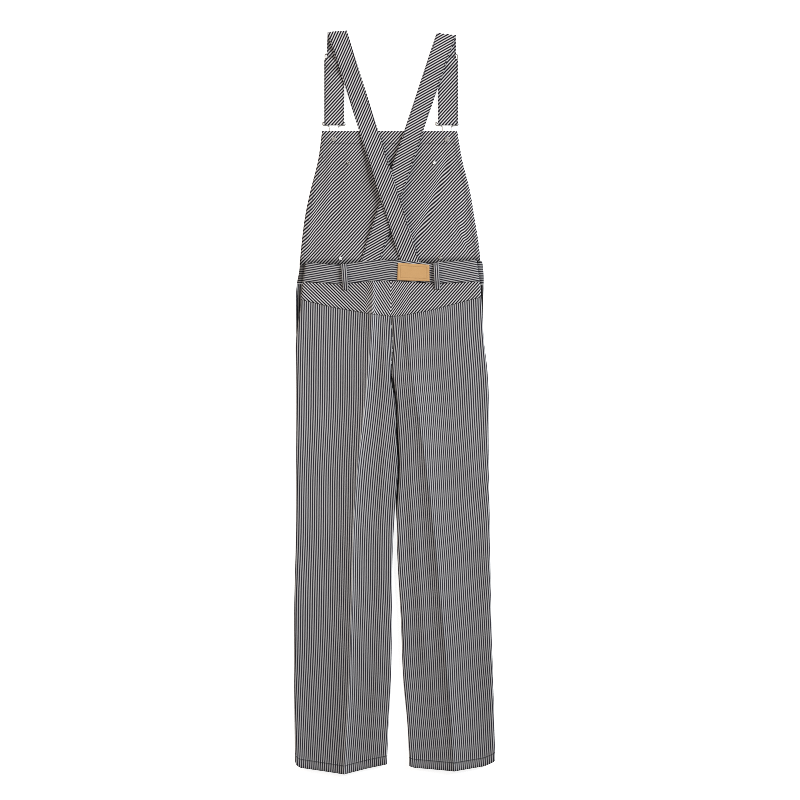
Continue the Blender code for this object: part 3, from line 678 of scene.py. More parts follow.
def cloth_piece(node, grid, cloth, wear_and_shade, twill=CRISP_TWILL, thickness=CLOTH, offset=-1.0):
    """A shell through outer points. cloth holds their places on the flat cloth, or gives those of faces."""
    faces = grid_faces(*grid.shape[:2])
    loops = cloth(faces) if callable(cloth) else cloth.reshape(-1, 2)[faces.ravel()]
    points = grid.reshape(-1, 3)
    piece = add_piece(node + "_cloth", points, faces.tolist(), twill, [node], loops, wear_and_shade)
    thicken(piece, thickness, offset)
    return piece


def two_grains(first, second, in_second):
    """Cloth places of a piece whose faces lie on two grains; in_second is asked for each lowest corner."""

    def places(faces):
        chosen = in_second(faces.min(axis=1))[:, None, None]
        return np.where(chosen, second.reshape(-1, 2)[faces], first.reshape(-1, 2)[faces]).reshape(-1, 2)

    return places


def stripe_place(name, x, y):
    """Place across and along the stripes of a flat piece."""
    degrees, period = STRIPES[name]
    turn = math.radians(degrees)
    u = x * math.cos(turn) - y * math.sin(turn)
    v = x * math.sin(turn) + y * math.cos(turn)
    return np.stack([u, v], -1) * (STRIPE / period)


def line_middle(line):
    return sum(p[1] for p in line) / len(line)


def lay_out(edge_x, columns, top_line, bottom_line, near_top, near_bottom, count):
    """Grid of x, y. edge_x(c, y) gives the x of column c, which runs between the two lines.

    Rows lie close at both ends, at the distances near_top and near_bottom, and evenly between them.
    """
    xs, ys = [], []
    for c in range(columns):
        ends = []
        for line in (top_line, bottom_line):
            y = line_middle(line)
            for _ in range(6):
                y = float(across(line, edge_x(c, np.array([y]))[0]))
            ends.append(y)
        first = ends[0] - np.array(near_top)
        last = ends[1] + np.array(near_bottom)[::-1]
        ys.append(np.concatenate([first, np.linspace(first[-1], last[0], count + 2)[1:-1], last]))
        xs.append(edge_x(c, ys[-1]))
    return np.array(xs).T, np.array(ys).T


def lay_between(table, left_name, right_name, top_line, bottom_line, columns, count):
    """Grid of x, y, evenly spaced across from one column of a table to another."""

    def edge_x(c, y):
        left = table(left_name, y)
        return left + (table(right_name, y) - left) * c / (columns - 1)

    return lay_out(edge_x, columns, top_line, bottom_line, NEAR_SEAM, NEAR_SEAM, count)


def distances_along(points):
    """How far each point is from the first, along the line or lines of points."""
    steps = np.linalg.norm(np.diff(points, axis=0), axis=-1)
    return np.concatenate([np.zeros_like(steps[:1]), np.cumsum(steps, axis=0)])


def read_line(points, run, places):
    """Points of a line at other distances along it; run holds its own points' distances."""
    return np.stack([np.interp(places, run, points[:, k]) for k in range(points.shape[1])], -1)


# Threads


def seam_line(grid, edge, distance, trim=0.0, face=0.0, end_trim=None):
    """Points and normals on a cloth grid, at a distance from one of its edges; face moves them inwards."""
    normals = np.cross(np.gradient(grid, axis=1), np.gradient(grid, axis=0))
    normals /= np.linalg.norm(normals, axis=-1, keepdims=True)
    cloth = np.concatenate([grid, normals], -1)
    if edge in ("left", "right"):
        cloth = cloth.swapaxes(0, 1)
    if edge in ("bottom", "right"):
        cloth = cloth[::-1]
    runs = distances_along(cloth[..., :3])
    line = np.concatenate([read_line(cloth[:, c], runs[:, c], [distance]) for c in range(cloth.shape[1])])
    run = distances_along(line[:, :3])
    end = run[-1] - (trim if end_trim is None else end_trim)
    line = read_line(line, run, np.arange(trim, end, 2.0))
    points, ups = line[:, :3], line[:, 3:]
    return points - ups * face, ups * (-1.0 if face else 1.0)


def sew(name, lines, thread=THREAD, pitch=3.2, length=2.35, width=0.3):
    """One mesh of separate stitches along lines of points and normals; each stitch dips in at its ends."""
    rng = np.random.default_rng(len(name))
    slip, sway, flat = 0.15, 0.12, 0.7
    stations = np.array([0, 0.22, 0.78, 1.0]) * length
    rise = np.array([-0.5, 1.0, 1.0, -0.5]) * 0.22
    thick = np.array([0.5, 1.0, 1.0, 0.5]) * width
    ring = np.array([(-1.0, 0.0), (0.0, 1.0), (1.0, 0.0), (0.0, -1.0)])
    vertices, faces, first = [], [], 0
    for points, ups in lines:
        run = distances_along(points)
        starts = np.arange(0.4, run[-1] - length, pitch)
        count = len(starts)
        places = (starts + rng.uniform(-slip, slip, count))[:, None] + stations
        at, up = read_line(points, run, places), read_line(ups, run, places)
        up /= np.linalg.norm(up, axis=-1, keepdims=True)
        side = np.cross(at[:, 3:] - at[:, :1], up)
        side /= np.linalg.norm(side, axis=-1, keepdims=True)
        at = at + side * rng.uniform(-sway, sway, count)[:, None, None] + up * rise[:, None]
        spread = side[:, :, None] * (thick[:, None] * ring[:, 0])[None, :, :, None]
        lifted = up[:, :, None] * (thick[:, None] * ring[:, 1] * flat)[None, :, :, None]
        vertices.append((at[:, :, None] + spread + lifted).reshape(-1, 3))
        for base in range(first, first + 16 * count, 16):
            faces.append((base + 3, base + 2, base + 1, base))
            faces.append((base + 12, base + 13, base + 14, base + 15))
            for station in (0, 4, 8):
                for corner in range(4):
                    near, far = base + station + corner, base + station + (corner + 1) % 4
                    faces.append((near, far, far + 4, near + 4))
        first += 16 * count
    add_piece(name, np.concatenate(vertices), faces, thread)


# Legs and yokes


def plateau_height(side, x, y):
    """Height of the back layer, with its creases, folds and centre seam."""
    turn = parted(y)
    outer, inner = flat_ends("back", side, y)
    from_outer, from_inner = abs(x - outer), abs(x - inner)
    plateau = LEG_TOP + (YOKE_TOP - LEG_TOP) * ease((y - YOKE_RISE[0]) / (YOKE_RISE[1] - YOKE_RISE[0]))
    crease = CREASES(side, y)
    ridge = CREASES(side + "_height", y) * falloff(abs(x - crease), CREASE_FLANK)
    rise, drop = RAMP_REACHES[side]
    ramp = RAMPS(side, y) * np.exp(-np.where(x < crease, (crease - x) / rise, (x - crease) / drop))
    free = ease(from_outer / FOLD_REACH / 2) * (1 - turn + turn * ease(from_inner / FOLD_REACH / 2))
    bulge = bell(from_outer, FOLD_REACH) + turn * bell(from_inner, FOLD_REACH)
    waver = 0.35 * cloth_waver(x, y, size=140.0, seed=3 if side == "left" else 5)
    relief = hand_laid(FOLDS["back_leg_" + side], 70, x, y) + waver
    puckers = 0.8 * falloff(from_inner, 7) * np.sin(y / 2.0 + 1.5 * np.sin(y / 17))
    seam = (puckers - 1.5 * bell(from_inner, 2.0)) * (1 - turn) * ease((YOKE_SEAM_MIDDLE - y) / 6)
    return plateau + (ridge + ramp + relief) * free + (2 * FOLD_RADIUS - plateau) * bulge + seam


def leg_section(layer, side, y):
    """Outer line of a half as (x, z) from side fold to inner edge, in two runs that meet at its middle.

    The middle is the crease in the back layer.
    """
    way = inward(side) * FOLD_RADIUS
    up = 1 if layer == "back" else -1
    outer, inner = flat_ends(layer, side, y)
    turn = np.linspace(SEAM_ANGLE, math.pi / 2, 16)
    fold = np.column_stack([outer - way * np.cos(turn), FOLD_RADIUS + up * FOLD_RADIUS * np.sin(turn)])
    if layer == "back":
        middle = CREASES(side, y)
        runs = [np.linspace(outer, middle, 60)[1:], np.linspace(middle, inner, 60)]
        first, second = (np.column_stack([x, plateau_height(side, x, y)]) for x in runs)
    else:
        middle = (outer + inner) / 2
        first, second = np.array([(middle, 0.0)]), np.array([(middle, 0.0), (inner, 0.0)])
    last_angle = parted(y) * math.pi / 2 - SEAM_ANGLE
    if last_angle > 0:
        turn = np.linspace(0, last_angle, 16)[1:]
        z = second[-1, 1] - up * FOLD_RADIUS * (1 - np.cos(turn))
        second = np.concatenate([second, np.column_stack([inner + way * np.sin(turn), z])])
    return np.concatenate([fold, first]), second


def close_to_ends(length, steps):
    """Distances along a run: close over its fold, then further apart, and closer again towards the end."""
    u = 1 - (1 - np.linspace(0, 1, steps)) ** 1.5
    return np.concatenate([FOLD_STEPS, (FOLD_STEPS[-1] + (length - FOLD_STEPS[-1]) * u)[1:]])


def section_table(layer, side, steps):
    """x, z and distance from the middle for every column, at every height of SECTION_YS."""
    table = []
    for y in SECTION_YS:
        first, second = leg_section(layer, side, y)
        first_run, second_run = distances_along(first), distances_along(second)
        out = close_to_ends(first_run[-1], steps)
        back = second_run[-1] - close_to_ends(second_run[-1], steps)[::-1]
        before = np.column_stack([read_line(first, first_run, out), out - first_run[-1]])
        beyond = np.column_stack([read_line(second, second_run, back), back])
        table.append(np.concatenate([before[:-1], beyond]))
    table = np.array(table)
    if side == "right":
        table = table[:, ::-1] * (1, 1, -1)
    return table if layer == "back" else table[:, ::-1]


def leg_grid(layer, side, steps, top_line, bottom_line, near_top, near_bottom, count):
    """Outer points and cloth x of a leg or yoke panel."""
    table = section_table(layer, side, steps)
    columns = table.shape[1]

    def read(c, k, y):
        return np.interp(y, SECTION_YS, table[:, c, k])

    gx, gy = lay_out(
        lambda c, y: read(c, 0, y), columns, top_line, bottom_line, near_top, near_bottom, count
    )
    gz, from_middle = (np.stack([read(c, k, gy[:, c]) for c in range(columns)], 1) for k in (1, 2))
    middle = CREASES(side, gy) if layer == "back" else sum(flat_ends(layer, side, gy)) / 2
    return np.stack([gx, gy, gz], -1), middle + from_middle


def leg_place(name, side, x, y, beyond_crease=False):
    """Place across and along the stripes of a leg panel, whose grain bends and narrows towards the hem."""
    x = dragged(name, x, y, size=190.0, amount=2.6, seed=31 if side == "left" else 37)
    line = LEG_STRIPES(side, y)
    if side == "right":
        period = np.where(x < line, LEG_STRIPES("right_inner", y), LEG_STRIPES("right_outer", y))
    elif beyond_crease:
        line, period = CREASES(side, y), LEG_STRIPES("left_inner", y)
    else:
        period = LEG_STRIPES("left_outer", y)
    return np.stack([(x - line) * STRIPE / period, y], -1)


def hem_shade(above):
    """Painted shade at a hem's rim, where the rolled edge lies in shadow, and along the groove of its
    stitching.
    """
    return edge_shade(above, 0.7, 2.6) - 0.8 * bell(above - HEM_STITCH, 0.9)


def slot_shadow(x, y):
    """Painted shadow: how much darker the front layer is in the slots under the back layer's edges at the
    hips.
    """
    slots = bell(x - SIDES("back_left", y), 5.0) + bell(x - SIDES("back_right", y), 4.0)
    return 0.95 * slots * ease((y - 150) / 40)


def make_back_leg(side):
    name = "back_leg_" + side
    grid, s = leg_grid("back", side, 34, lowered(YOKE_SEAM), HEM[side], NEAR_SEAM, NEAR_HEM, 150)
    x, y, z = np.moveaxis(grid, -1, 0)
    above = y - across(HEM[side], x)
    z += HEM_RISE * ease((HEM_DEPTH + 0.6 - above) / 1.2) * ease((z - 4) / 2)
    columns = grid.shape[1]
    first_inner = np.argmin(abs(s[0] - CREASES(side, y[0])))
    cloth = two_grains(
        leg_place(name, side, s, y),
        leg_place(name, side, s, y, beyond_crease=True),
        lambda corner: corner % columns >= first_inner,
    )
    # Painted shade at the hem; along the crease, faded yarn on the left leg and painted shade on the right
    wear_and_shade = hem_shade(above) + CREASE_WEAR_AND_SHADE[side] * falloff(abs(x - CREASES(side, y)), 1.4)
    # Cloth a little darker towards the hems
    wear_and_shade -= 0.12 * ease((-150 - y) / 450)
    # Painted shade along the side fold
    wear_and_shade += edge_shade(abs(x - SIDES("back_" + side, y)), 0.45, 1.6)
    # Painted shade along the inner edge, in the gap between the legs below the crotch
    wear_and_shade += edge_shade(abs(x - inner_edge("back", side, y)), 0.6, 2.0) * ease((y + 230) / 40)
    piece = cloth_piece(name, grid, cloth, wear_and_shade, WORN_TWILL)
    lines = [seam_line(grid, "bottom", HEM_STITCH)]
    if side == "left":
        lines.append(seam_line(grid, "right", 2.2, 2.0, end_trim=CENTRE_SEAM_END))
        # Pale marks along the centre-back seam: a painted highlight on its puckers' crests
        puckers = seam_line(grid, "right", 0.7, 17.0, end_trim=CENTRE_SEAM_END + 6.0)
        sew(name + "_puckers", [puckers], PUCKER_HIGHLIGHT, pitch=24.0, length=7.0, width=1.0)
    sew(name + "_stitches", lines, length=2.9, width=0.5)


def make_front_leg(side):
    name = "front_leg_" + side
    hem = FRONT_HEM[side]
    grid, s = leg_grid("front", side, 14, lowered(FRONT_BAND_BOTTOM), hem, NEAR_SEAM, NEAR_HEM, 110)
    x, y = grid[..., 0], grid[..., 1]
    wear_and_shade = hem_shade(y - across(hem, x)) - slot_shadow(x, y)
    # Painted shade on this lower layer along its inner edge, under the gap between the back legs
    wear_and_shade -= 0.9 * bell(x - inner_edge("front", side, y), 6.5) * ease((y + 230) / 40)
    piece = cloth_piece(name, grid, leg_place(name, side, s, y), wear_and_shade, WORN_TWILL)
    sew(name + "_stitches", [seam_line(grid, "bottom", HEM_STITCH)], length=2.9, width=0.5)


def yoke_place(side, x, y):
    """Yoke stripes: even at the hips, steeper near the centre back, bunched in the left half's fold."""
    name = "back_yoke_" + side
    x = dragged(name, x, y, size=120.0, amount=1.2, seed=43)
    if side == "right":
        return stripe_place(name, x + 0.30 * np.minimum(x - 28.0, 0.0), y)
    even = stripe_place(name, x, y) - stripe_place(name, *YOKE_BEND)
    steep = stripe_place("yoke_steep", x + 40.0, y - YOKE_BEND[1]) + (27.0, 0.0)
    bunched = ease((x - YOKE_BEND[0]) / 22.0)[..., None]
    return even * (1 - bunched) + steep * bunched


def make_yoke(side):
    name = "back_yoke_" + side
    grid, s = leg_grid("back", side, 34, lowered(BAND_BOTTOM), YOKE_SEAM, (0.0, 1.0, 3.0), NEAR_SEAM, 14)
    x, y, z = np.moveaxis(grid, -1, 0)
    above = y - across(YOKE_SEAM, x)
    z += 0.55 * ease((9.0 - above) / 1.6) - 0.25 * bell(above - 1.6, 0.8)
    # Painted shade along the yoke's seam edge and its side edge
    wear_and_shade = edge_shade(above, 0.6, 1.2) + edge_shade(abs(x - SIDES("back_" + side, y)), 0.5, 1.8)
    piece = cloth_piece(name, grid, yoke_place(side, s, y), wear_and_shade)
    sew(name + "_stitches", [seam_line(grid, "bottom", distance) for distance in TWIN_ROWS])


# Waistbands


def band_height(x, y):
    left, right = SIDES("back_left", y), SIDES("back_right", y)
    place = (2 * x - left - right) / (right - left)
    return BAND_MIDDLE_TOP - (BAND_MIDDLE_TOP - BAND_END_TOP) * place**6


def band_place(x, y):
    """Stripes along the band, which rise towards its middle from both ends."""
    slopes = [math.tan(math.radians(90 - turn)) for turn in BAND_STRIPE_TURNS]
    from_middle = x - BAND_BEND_X
    rise = np.where(from_middle < 0, -from_middle * slopes[0], from_middle * slopes[1])
    rise = rise * (1 - 0.25 * (1 - np.minimum(abs(from_middle / 26.0), 1)))
    return np.stack([(y + rise) * STRIPE / BAND_PERIOD, x], -1)


def edge_roll(grid, amount, reach):
    """Distance from a sheet's nearest edge, and how far its rim is lowered to look rolled over."""
    rims = (grid[:1], grid[-1:], grid[:, :1], grid[:, -1:])
    near = np.min([np.linalg.norm(grid - rim, axis=-1) for rim in rims], axis=0)
    return near, -amount * (1 - ease(near / reach))


def rows_along(grid, edges, inset, trim, face=0.0):
    return [seam_line(grid, edge, inset, trim, face) for edge in edges]


def make_waistbands():
    x, y = lay_between(SIDES, "back_left", "back_right", BAND_TOP, BAND_BOTTOM, 110, 4)
    grid = np.stack([x, y, band_height(x, y) + 0.3 * cloth_waver(x, y, size=70.0, seed=11)], -1)
    near, roll = edge_roll(grid, 0.9, 1.8)
    grid[..., 2] += roll - 0.3 * bell(near - BAND_STITCH, 0.9)
    # Painted shade along the band's rims
    wear_and_shade = edge_shade(near, 0.6, 1.2)
    piece = cloth_piece("waistband_back", grid, band_place(x, y), wear_and_shade, WORN_TWILL, 2.0)
    sew("waistband_back_stitches", rows_along(grid, EDGES, BAND_STITCH, BAND_STITCH))
    x, y = lay_between(SIDES, "front_left", "front_right", FRONT_BAND_TOP, FRONT_BAND_BOTTOM, 60, 4)
    grid = np.stack([x, y, np.full_like(x, BAND_CLOTH)], -1)
    near, roll = edge_roll(grid, 0.5, 1.4)
    grid[..., 2] += roll
    cloth = np.stack([y * STRIPE / BAND_PERIOD, x], -1)
    # Painted shade along the band's rims, and a painted shadow in the slots at the hips
    wear_and_shade = edge_shade(near, 0.6, 1.2) - slot_shadow(x, y)
    thickness = BAND_CLOTH - 0.2
    piece = cloth_piece("waistband_front", grid, cloth, wear_and_shade, WORN_TWILL, thickness)
    lines = rows_along(grid, EDGES, BAND_STITCH, BAND_STITCH)
    lines += rows_along(grid, ("top", "bottom"), BAND_STITCH, BAND_STITCH, thickness)
    sew("waistband_front_stitches", lines)


# Bib, pocket and hardware


def lift(places, height, reach, x, y):
    return sum(height * np.exp(-((x - px) ** 2 + (y - py) ** 2) / reach**2) for px, py in places.values())


def pocket_height(x, y):
    return BIB_CLOTH + lift(RIVETS, RIVET_LIFT, RIVET_SPREAD, x, y)


def bib_base(x, y):
    return pocket_height(x, y) + POCKET_GAP + BIB_CLOTH + lift(BUTTONS, BUTTON_LIFT, BUTTON_SPREAD, x, y)


def make_bib():
    x, y = lay_between(BIB, "left", "right", BIB_TOP, BIB_FOOT, 110, 90)
    z = bib_base(x, y) + hand_laid(FOLDS["bib"], 70, x, y) + 0.35 * cloth_waver(x, y, size=60.0, seed=21)
    near, roll = edge_roll(np.stack([x, y, z], -1), 0.5, 1.5)
    from_side = np.minimum(x - x[:, :1], x[:, -1:] - x)
    from_foot = y - across(BIB_FOOT, x)
    doubled = 0.5 * ease((26 - (BIB_TOP[0][1] - y)) / 1.5) + 0.45 * ease((9 - from_side) / 1.5)
    grid = np.stack([x, y, z + roll + doubled + 0.6 * ease((7 - from_foot) / 4)], -1)
    cloth = stripe_place("bib", dragged("bib", x, y, size=150.0, amount=2.0, seed=47), y)
    # Painted shade along the bib's edges, and a painted shadow along its foot at the waistband
    wear_and_shade = edge_shade(near, 0.5, 1.2) - 0.7 * np.exp(-((from_foot / 11) ** 4))
    piece = cloth_piece("bib", grid, cloth, wear_and_shade)
    sew("bib_stitches", [seam_line(grid, *row, 2.0, face) for row in BIB_ROWS for face in (0.0, CLOTH)])
    x, y = lay_between(POCKET, "left", "right", POCKET_TOP, POCKET_BOTTOM, 60, 50)
    grid = np.stack([x, y, pocket_height(x, y)], -1)
    # Painted shade along the pocket's edges
    wear_and_shade = edge_shade(edge_roll(grid, 0.0, 1.0)[0], 0.6, 1.2)
    piece = cloth_piece("bib_pocket", grid, stripe_place("bib_pocket", x, y), wear_and_shade)
    sew("bib_pocket_stitches", [seam_line(grid, *row, 1.8, CLOTH) for row in POCKET_ROWS])


# Straps


def front_run_x(strap, y):
    (top_x, top_y), low_x = strap["shoulder"], strap["buckle"]
    return low_x + (top_x - low_x) * (y - BUCKLE_Y) / (top_y - BUCKLE_Y)


def back_run_z(strap, x, y):
    ys, zs = np.array(STRAP_BACK)[::-1].T
    free = np.interp(y, ys, zs)
    lying = bib_base(x, np.maximum(y, 290)) + STRAP_CLEAR + STRAP_CLOTH / 2
    lying = lying + STRAP_ARCH * np.sin(math.pi * np.clip((y - 300) / 260, 0, 1))
    lands = ease((STRAP_LANDS[0] - y) / (STRAP_LANDS[0] - STRAP_LANDS[1]))
    beyond = (abs(y - CROSSING["y"]) - CROSSING["half"]) / CROSSING["ease"]
    return free + (lying - free) * lands + strap["crosses"] * (1 - ease(beyond))


def densify(path, step):
    """More points along a path of (y, z) points, none further apart than step."""
    path = np.array(path, float)
    made = [path[0]]
    for a, b in zip(path[:-1], path[1:]):
        count = max(1, int(math.ceil(np.hypot(*(b - a)) / step)))
        made += [a + (b - a) * k / count for k in range(1, count + 1)]
    return made


def strap_rows(side):
    """Rows of points from the strap's free end round the buckle and over the shoulder to the waist.

    Also gives the number of the last row of the shoulder fold.
    """
    strap, slider = STRAPS[side], SLIDER_Y[side]
    (top_x, top_y), (low_x, low_y) = strap["shoulder"], strap["waist"]
    path = [(slider + y, z) for y, z in STRAP_END] + list(STRAP_TO_BUCKLE)
    for a in np.linspace(0, math.pi, 13):
        path.append((BUCKLE_Y - BUCKLE_TURN * math.sin(a), BUCKLE_Z + BUCKLE_TURN * math.cos(a)))
    path += [(y, FRONT_RUN_Z) for y in STRAP_FROM_BUCKLE]
    path += [(slider + y, z) for y, z in STRAP_THROUGH]
    rows = []

    def add_row(middle, width, y, z):
        x = middle + STRAP_ACROSS * width / 2
        rows.append(np.stack(np.broadcast_arrays(x, y, z(x, y) if callable(z) else z), -1))

    for y, z in densify(path, 6.0):
        in_lap = ease((slider + 2.0 - y) / 5.0)
        middle = front_run_x(strap, y) * (1 - in_lap) + LAP_X[side] * in_lap
        add_row(middle, STRAP_WIDTH + (LAP_WIDTH - STRAP_WIDTH) * in_lap, y, z)
    for a in np.linspace(0, math.pi, 11):
        y = top_y - SHOULDER_TURN + SHOULDER_TURN * math.sin(a) + STRAP_ACROSS * strap["rise"]
        add_row(top_x, STRAP_WIDTH, y, FRONT_RUN_Z + SHOULDER_TURN * (1 - math.cos(a)))
    folded = len(rows)
    for y in np.arange(top_y - 6.0, low_y - 1, -5.0):
        middle = top_x + (low_x - top_x) * (y - top_y) / (low_y - top_y)
        y = y + STRAP_ACROSS * strap["rise"] * ease((y - 560) / 160)
        add_row(middle, STRAP_WIDTH, y, lambda x, y: back_run_z(strap, x, y))
    return np.array(rows), folded


def make_strap(side):
    name = "strap_" + side
    grid, folded = strap_rows(side)
    (top_x, top_y), (low_x, low_y) = STRAPS[side]["shoulder"], STRAPS[side]["waist"]
    lean = math.atan2(low_x - top_x, top_y - low_y)
    x, y = grid[..., 0], grid[..., 1]
    # The back run's own axes, turned with the strap
    back_x = (x - top_x) * math.cos(lean) + (y - top_y) * math.sin(lean)
    back_y = -(x - top_x) * math.sin(lean) + (y - top_y) * math.cos(lean)
    columns = len(STRAP_ACROSS)
    cloth = two_grains(
        stripe_place("strap_front", x, y),
        stripe_place("strap_back", back_x, back_y),
        lambda corner: corner // columns >= folded - 6,
    )
    # Painted shade along the strap's edges
    wear_and_shade = np.tile(edge_shade((1 - abs(STRAP_ACROSS)) * STRAP_WIDTH / 2, 0.55, 1.0), (len(grid), 1))
    piece = cloth_piece(name, grid, cloth, wear_and_shade, CRISP_TWILL, STRAP_CLOTH, 0.0)
    length = distances_along(grid[:, columns // 2])[-1]
    lines = []
    for way in (-1.0, 1.0):
        for edge in ("left", "right"):
            points, ups = seam_line(grid, edge, 2.8)
            lines.append((points - ups * way * STRAP_CLOTH / 2, -ups * way))
    sew(name + "_stitches", lines, pitch=3.6, length=2.6)


# Buckles and sliders


def new_curve(name, **settings):
    curve = bpy.data.curves.new(name, "CURVE")
    for key, value in settings.items():
        setattr(curve, key, value)
    return curve


def curve_piece(curve, material, node, place):
    """A piece made of a finished curve; linked before its splines, its box would be an empty curve's."""
    piece = bpy.data.objects.new(curve.name, curve)
    piece.location = to_metres(place)
    curve.materials.append(material)
    hand_over(piece, [node])


def rounded_box(width, low, high, corner, steps):
    """Corners of a rectangle centred on x = 0 with rounded corners, counter-clockwise."""
    points = []
    for sx, sy, start in ((1, -1, -90), (1, 1, 0), (-1, 1, 90), (-1, -1, 180)):
        cx = sx * (width / 2 - corner)
        cy = (high - corner) if sy > 0 else (low + corner)
        for k in range(steps + 1):
            turn = math.radians(start + 90 * k / steps)
            points.append((cx + corner * math.cos(turn), cy + corner * math.sin(turn)))
    return points


def make_slider(side):
    """Plate with two slots, its edges rounded over."""
    curve = new_curve(
        "slider_" + side + "_plate", dimensions="2D", fill_mode="BOTH", extrude=0.4 * MM,
        bevel_depth=0.28 * MM, bevel_resolution=3,
    )
    outlines = [rounded_box(SLIDER_WIDTH, *SLIDER_ENDS, 3.0, 8)]
    outlines += [rounded_box(SLIDER_SLOT_WIDTH, low, high, 0.8, 4) for low, high in SLIDER_SLOTS]
    for outline in outlines:
        spline = curve.splines.new("POLY")
        spline.points.add(len(outline) - 1)
        for point, (x, y) in zip(spline.points, outline):
            point.co = (x * MM, y * MM, 0, 1)
        spline.use_cyclic_u = True
    y = SLIDER_Y[side]
    x = (front_run_x(STRAPS[side], y) + LAP_X[side]) / 2
    curve_piece(curve, SLIDER_METAL, "slider_" + side, (x, y, SLIDER_Z))


def make_buckle(side):
    """Wire that bears the strap's loop, comes in under the strap's end and hooks round the button."""
    name = "buckle_" + side
    curve = new_curve(
        name + "_wire", dimensions="3D", bevel_depth=WIRE * MM, bevel_resolution=5, resolution_u=8
    )
    points = list(BUCKLE) + [(-x, y, z) for x, y, z in reversed(BUCKLE[1:-1])]
    spline = curve.splines.new("BEZIER")
    spline.bezier_points.add(len(points) - 1)
    for point, place in zip(spline.bezier_points, points):
        point.co = [value * MM for value in place]
        point.handle_left_type = point.handle_right_type = "AUTO"
    spline.use_cyclic_u = True
    curve_piece(curve, WIRE_METAL, name, (BUTTONS[side][0], BUCKLE_Y, BUCKLE_Z))


# Belt loops and patch


def make_belt_loop(side):
    name = "belt_loop_" + side
    (top_x, top_y), (low_x, low_y) = LOOPS[side]
    downs = np.linspace(0, 1, 26)[:, None]
    sideways = np.linspace(-0.5, 0.5, 9) * LOOP_WIDTH
    rise = np.interp(downs, *np.array(LOOP_ROWS).T)
    x = top_x + (low_x - top_x) * downs + sideways
    y = top_y + (low_y - top_y) * downs + 0 * sideways
    on_yoke = ease((downs - LOOP_TO_YOKE) / 0.16)
    under = band_height(x, y) * (1 - on_yoke) + plateau_height(side, x, y) * on_yoke
    crown = 0.25 * (1 - (2 * sideways / LOOP_WIDTH) ** 2)
    grid = np.stack([x, y, under + rise + LOOP_CLOTH + crown], -1)
    cloth = np.stack([sideways * STRIPE / LOOP_PERIOD + 0 * y, y], -1)
    # Painted shade along the loop's edges
    wear_and_shade = np.tile(edge_shade(0.5 * LOOP_WIDTH - abs(sideways), 0.6, 0.8), (len(grid), 1))
    piece = cloth_piece(name, grid, cloth, wear_and_shade, WORN_TWILL, LOOP_CLOTH)
    lines = rows_along(grid, ("left", "right"), 1.7, 1.0)
    lines += [seam_line(grid, edge, inset, 0.8) for edge in ("top", "bottom") for inset in LOOP_TACKS]
    sew(name + "_stitches", lines, pitch=2.6, length=2.2)


def make_patch():
    rows, columns = 42, 70
    down = np.linspace(0, 1, rows)[:, None]
    along = np.linspace(0, 1, columns)[None]
    top, bottom = np.array(PATCH["top"]), np.array(PATCH["bottom"])
    left, right = ((top[k] + (bottom[k] - top[k]) * down[..., None]) for k in (0, 1))
    x, y = np.moveaxis(left + (right - left) * along[..., None], -1, 0)
    from_side = np.minimum(along, 1 - along) * PATCH_SIZE[0]
    from_end = np.minimum(down, 1 - down) * PATCH_SIZE[1]
    inset = np.minimum(from_side, from_end)
    groove = bell(inset - PATCH_INSET, 0.55)
    top_z = band_height(x, y) + PATCH_GAP + PATCH_LEATHER
    grid = np.stack([x, y, top_z - 0.3 * groove - 0.6 * (1 - ease(inset / 1.2))], -1)
    wear_and_shade = 0.55 * groove + 0.5 * falloff(inset, 0.8)
    faces = grid_faces(rows, columns).tolist()
    points = grid.reshape(-1, 3)
    piece = add_piece("leather_patch_skin", points, faces, LEATHER, ["leather_patch"], wear_and_shade=wear_and_shade)
    thicken(piece, 1.3)
    lines = rows_along(grid, EDGES, PATCH_INSET, PATCH_INSET - 0.3)
    sew("leather_patch_stitches", lines, TAN_THREAD, pitch=2.6, length=2.0, width=0.22)


# Camera, floor and light


def make_light(name, place, power, colour):
    """A panel that faces the garment's middle."""
    data = bpy.data.lights.new(name, "AREA")
    data.shape = "RECTANGLE"
    data.size, data.size_y = LIGHT_SIZE
    data.energy = power
    data.color = colour
    lamp = bpy.data.objects.new(name, data)
    lamp.location = place
    lamp.rotation_mode = "QUATERNION"
    lamp.rotation_quaternion = (-Vector(place)).to_track_quat("-Z", "Y")
    bpy.context.scene.collection.objects.link(lamp)


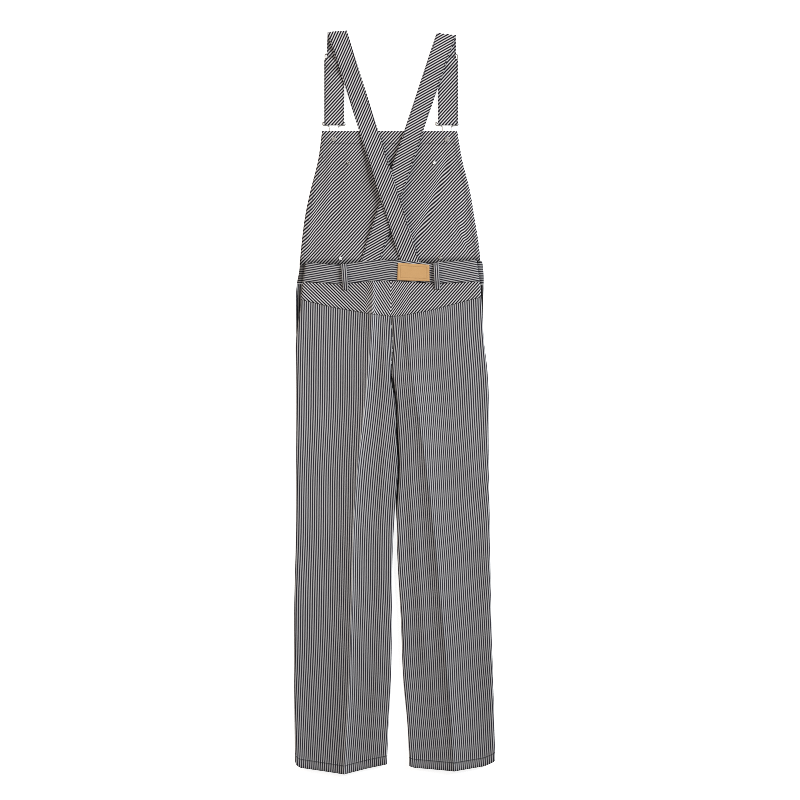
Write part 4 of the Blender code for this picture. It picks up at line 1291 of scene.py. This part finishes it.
def make_stage():
    mesh = bpy.data.meshes.new("floor")
    corners = [(x * FLOOR_REACH, y * FLOOR_REACH, FLOOR_Z) for x, y in ((-1, -1), (1, -1), (1, 1), (-1, 1))]
    mesh.from_pydata(corners, [], [(0, 1, 2, 3)])
    pale = Finish("pale_floor")
    pale.plug(pale.shader, {
        "Base Color": opaque((0.55, 0.55, 0.55)),
        "Roughness": 0.95,
        "Specular IOR Level": 0.0,
        "Emission Color": opaque((1.0, 1.0, 1.0)),
        "Emission Strength": 0.80,
    })
    pale.material.cycles.emission_sampling = "NONE"
    mesh.materials.append(pale.material)
    floor = bpy.data.objects.new("floor", mesh)
    bpy.context.scene.collection.objects.link(floor)
    world = bpy.data.worlds.new("studio")
    world.use_nodes = True
    sky = world.node_tree.nodes["Background"]
    sky.inputs[0].default_value = opaque(SKY_COLOUR)
    sky.inputs[1].default_value = SKY_STRENGTH
    scene = bpy.context.scene
    scene.world = world
    for light in LIGHTS:
        make_light(*light)
    scene.view_settings.view_transform = "Standard"
    scene.cycles.filter_width = 0.65
    scene.cycles.denoising_prefilter = "NONE"


def make_camera():
    data = bpy.data.cameras.new("camera")
    data.sensor_width = SENSOR
    data.lens = SENSOR * CAMERA_HEIGHT / (PICTURE * PIXEL * MM)
    data.clip_end = 100.0
    camera = bpy.data.objects.new("camera", data)
    x, y = PICTURE / 2 - ORIGIN_PIXEL[0], ORIGIN_PIXEL[1] - PICTURE / 2
    camera.location = to_metres((x * PIXEL, y * PIXEL, 0))
    camera.location.z = CAMERA_HEIGHT
    bpy.context.scene.collection.objects.link(camera)
    bpy.context.scene.camera = camera


make_camera()
make_stage()
for half in ("left", "right"):
    make_back_leg(half)
    make_front_leg(half)
for half in ("left", "right"):
    make_yoke(half)
make_waistbands()
make_bib()
for half in STRAPS:
    make_strap(half)
    make_slider(half)
    make_buckle(half)
for half in LOOPS:
    make_belt_loop(half)
make_patch()
for cad_name, finish in HARDWARE.items():
    for material_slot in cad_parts[cad_name].material_slots:
        material_slot.material = finish
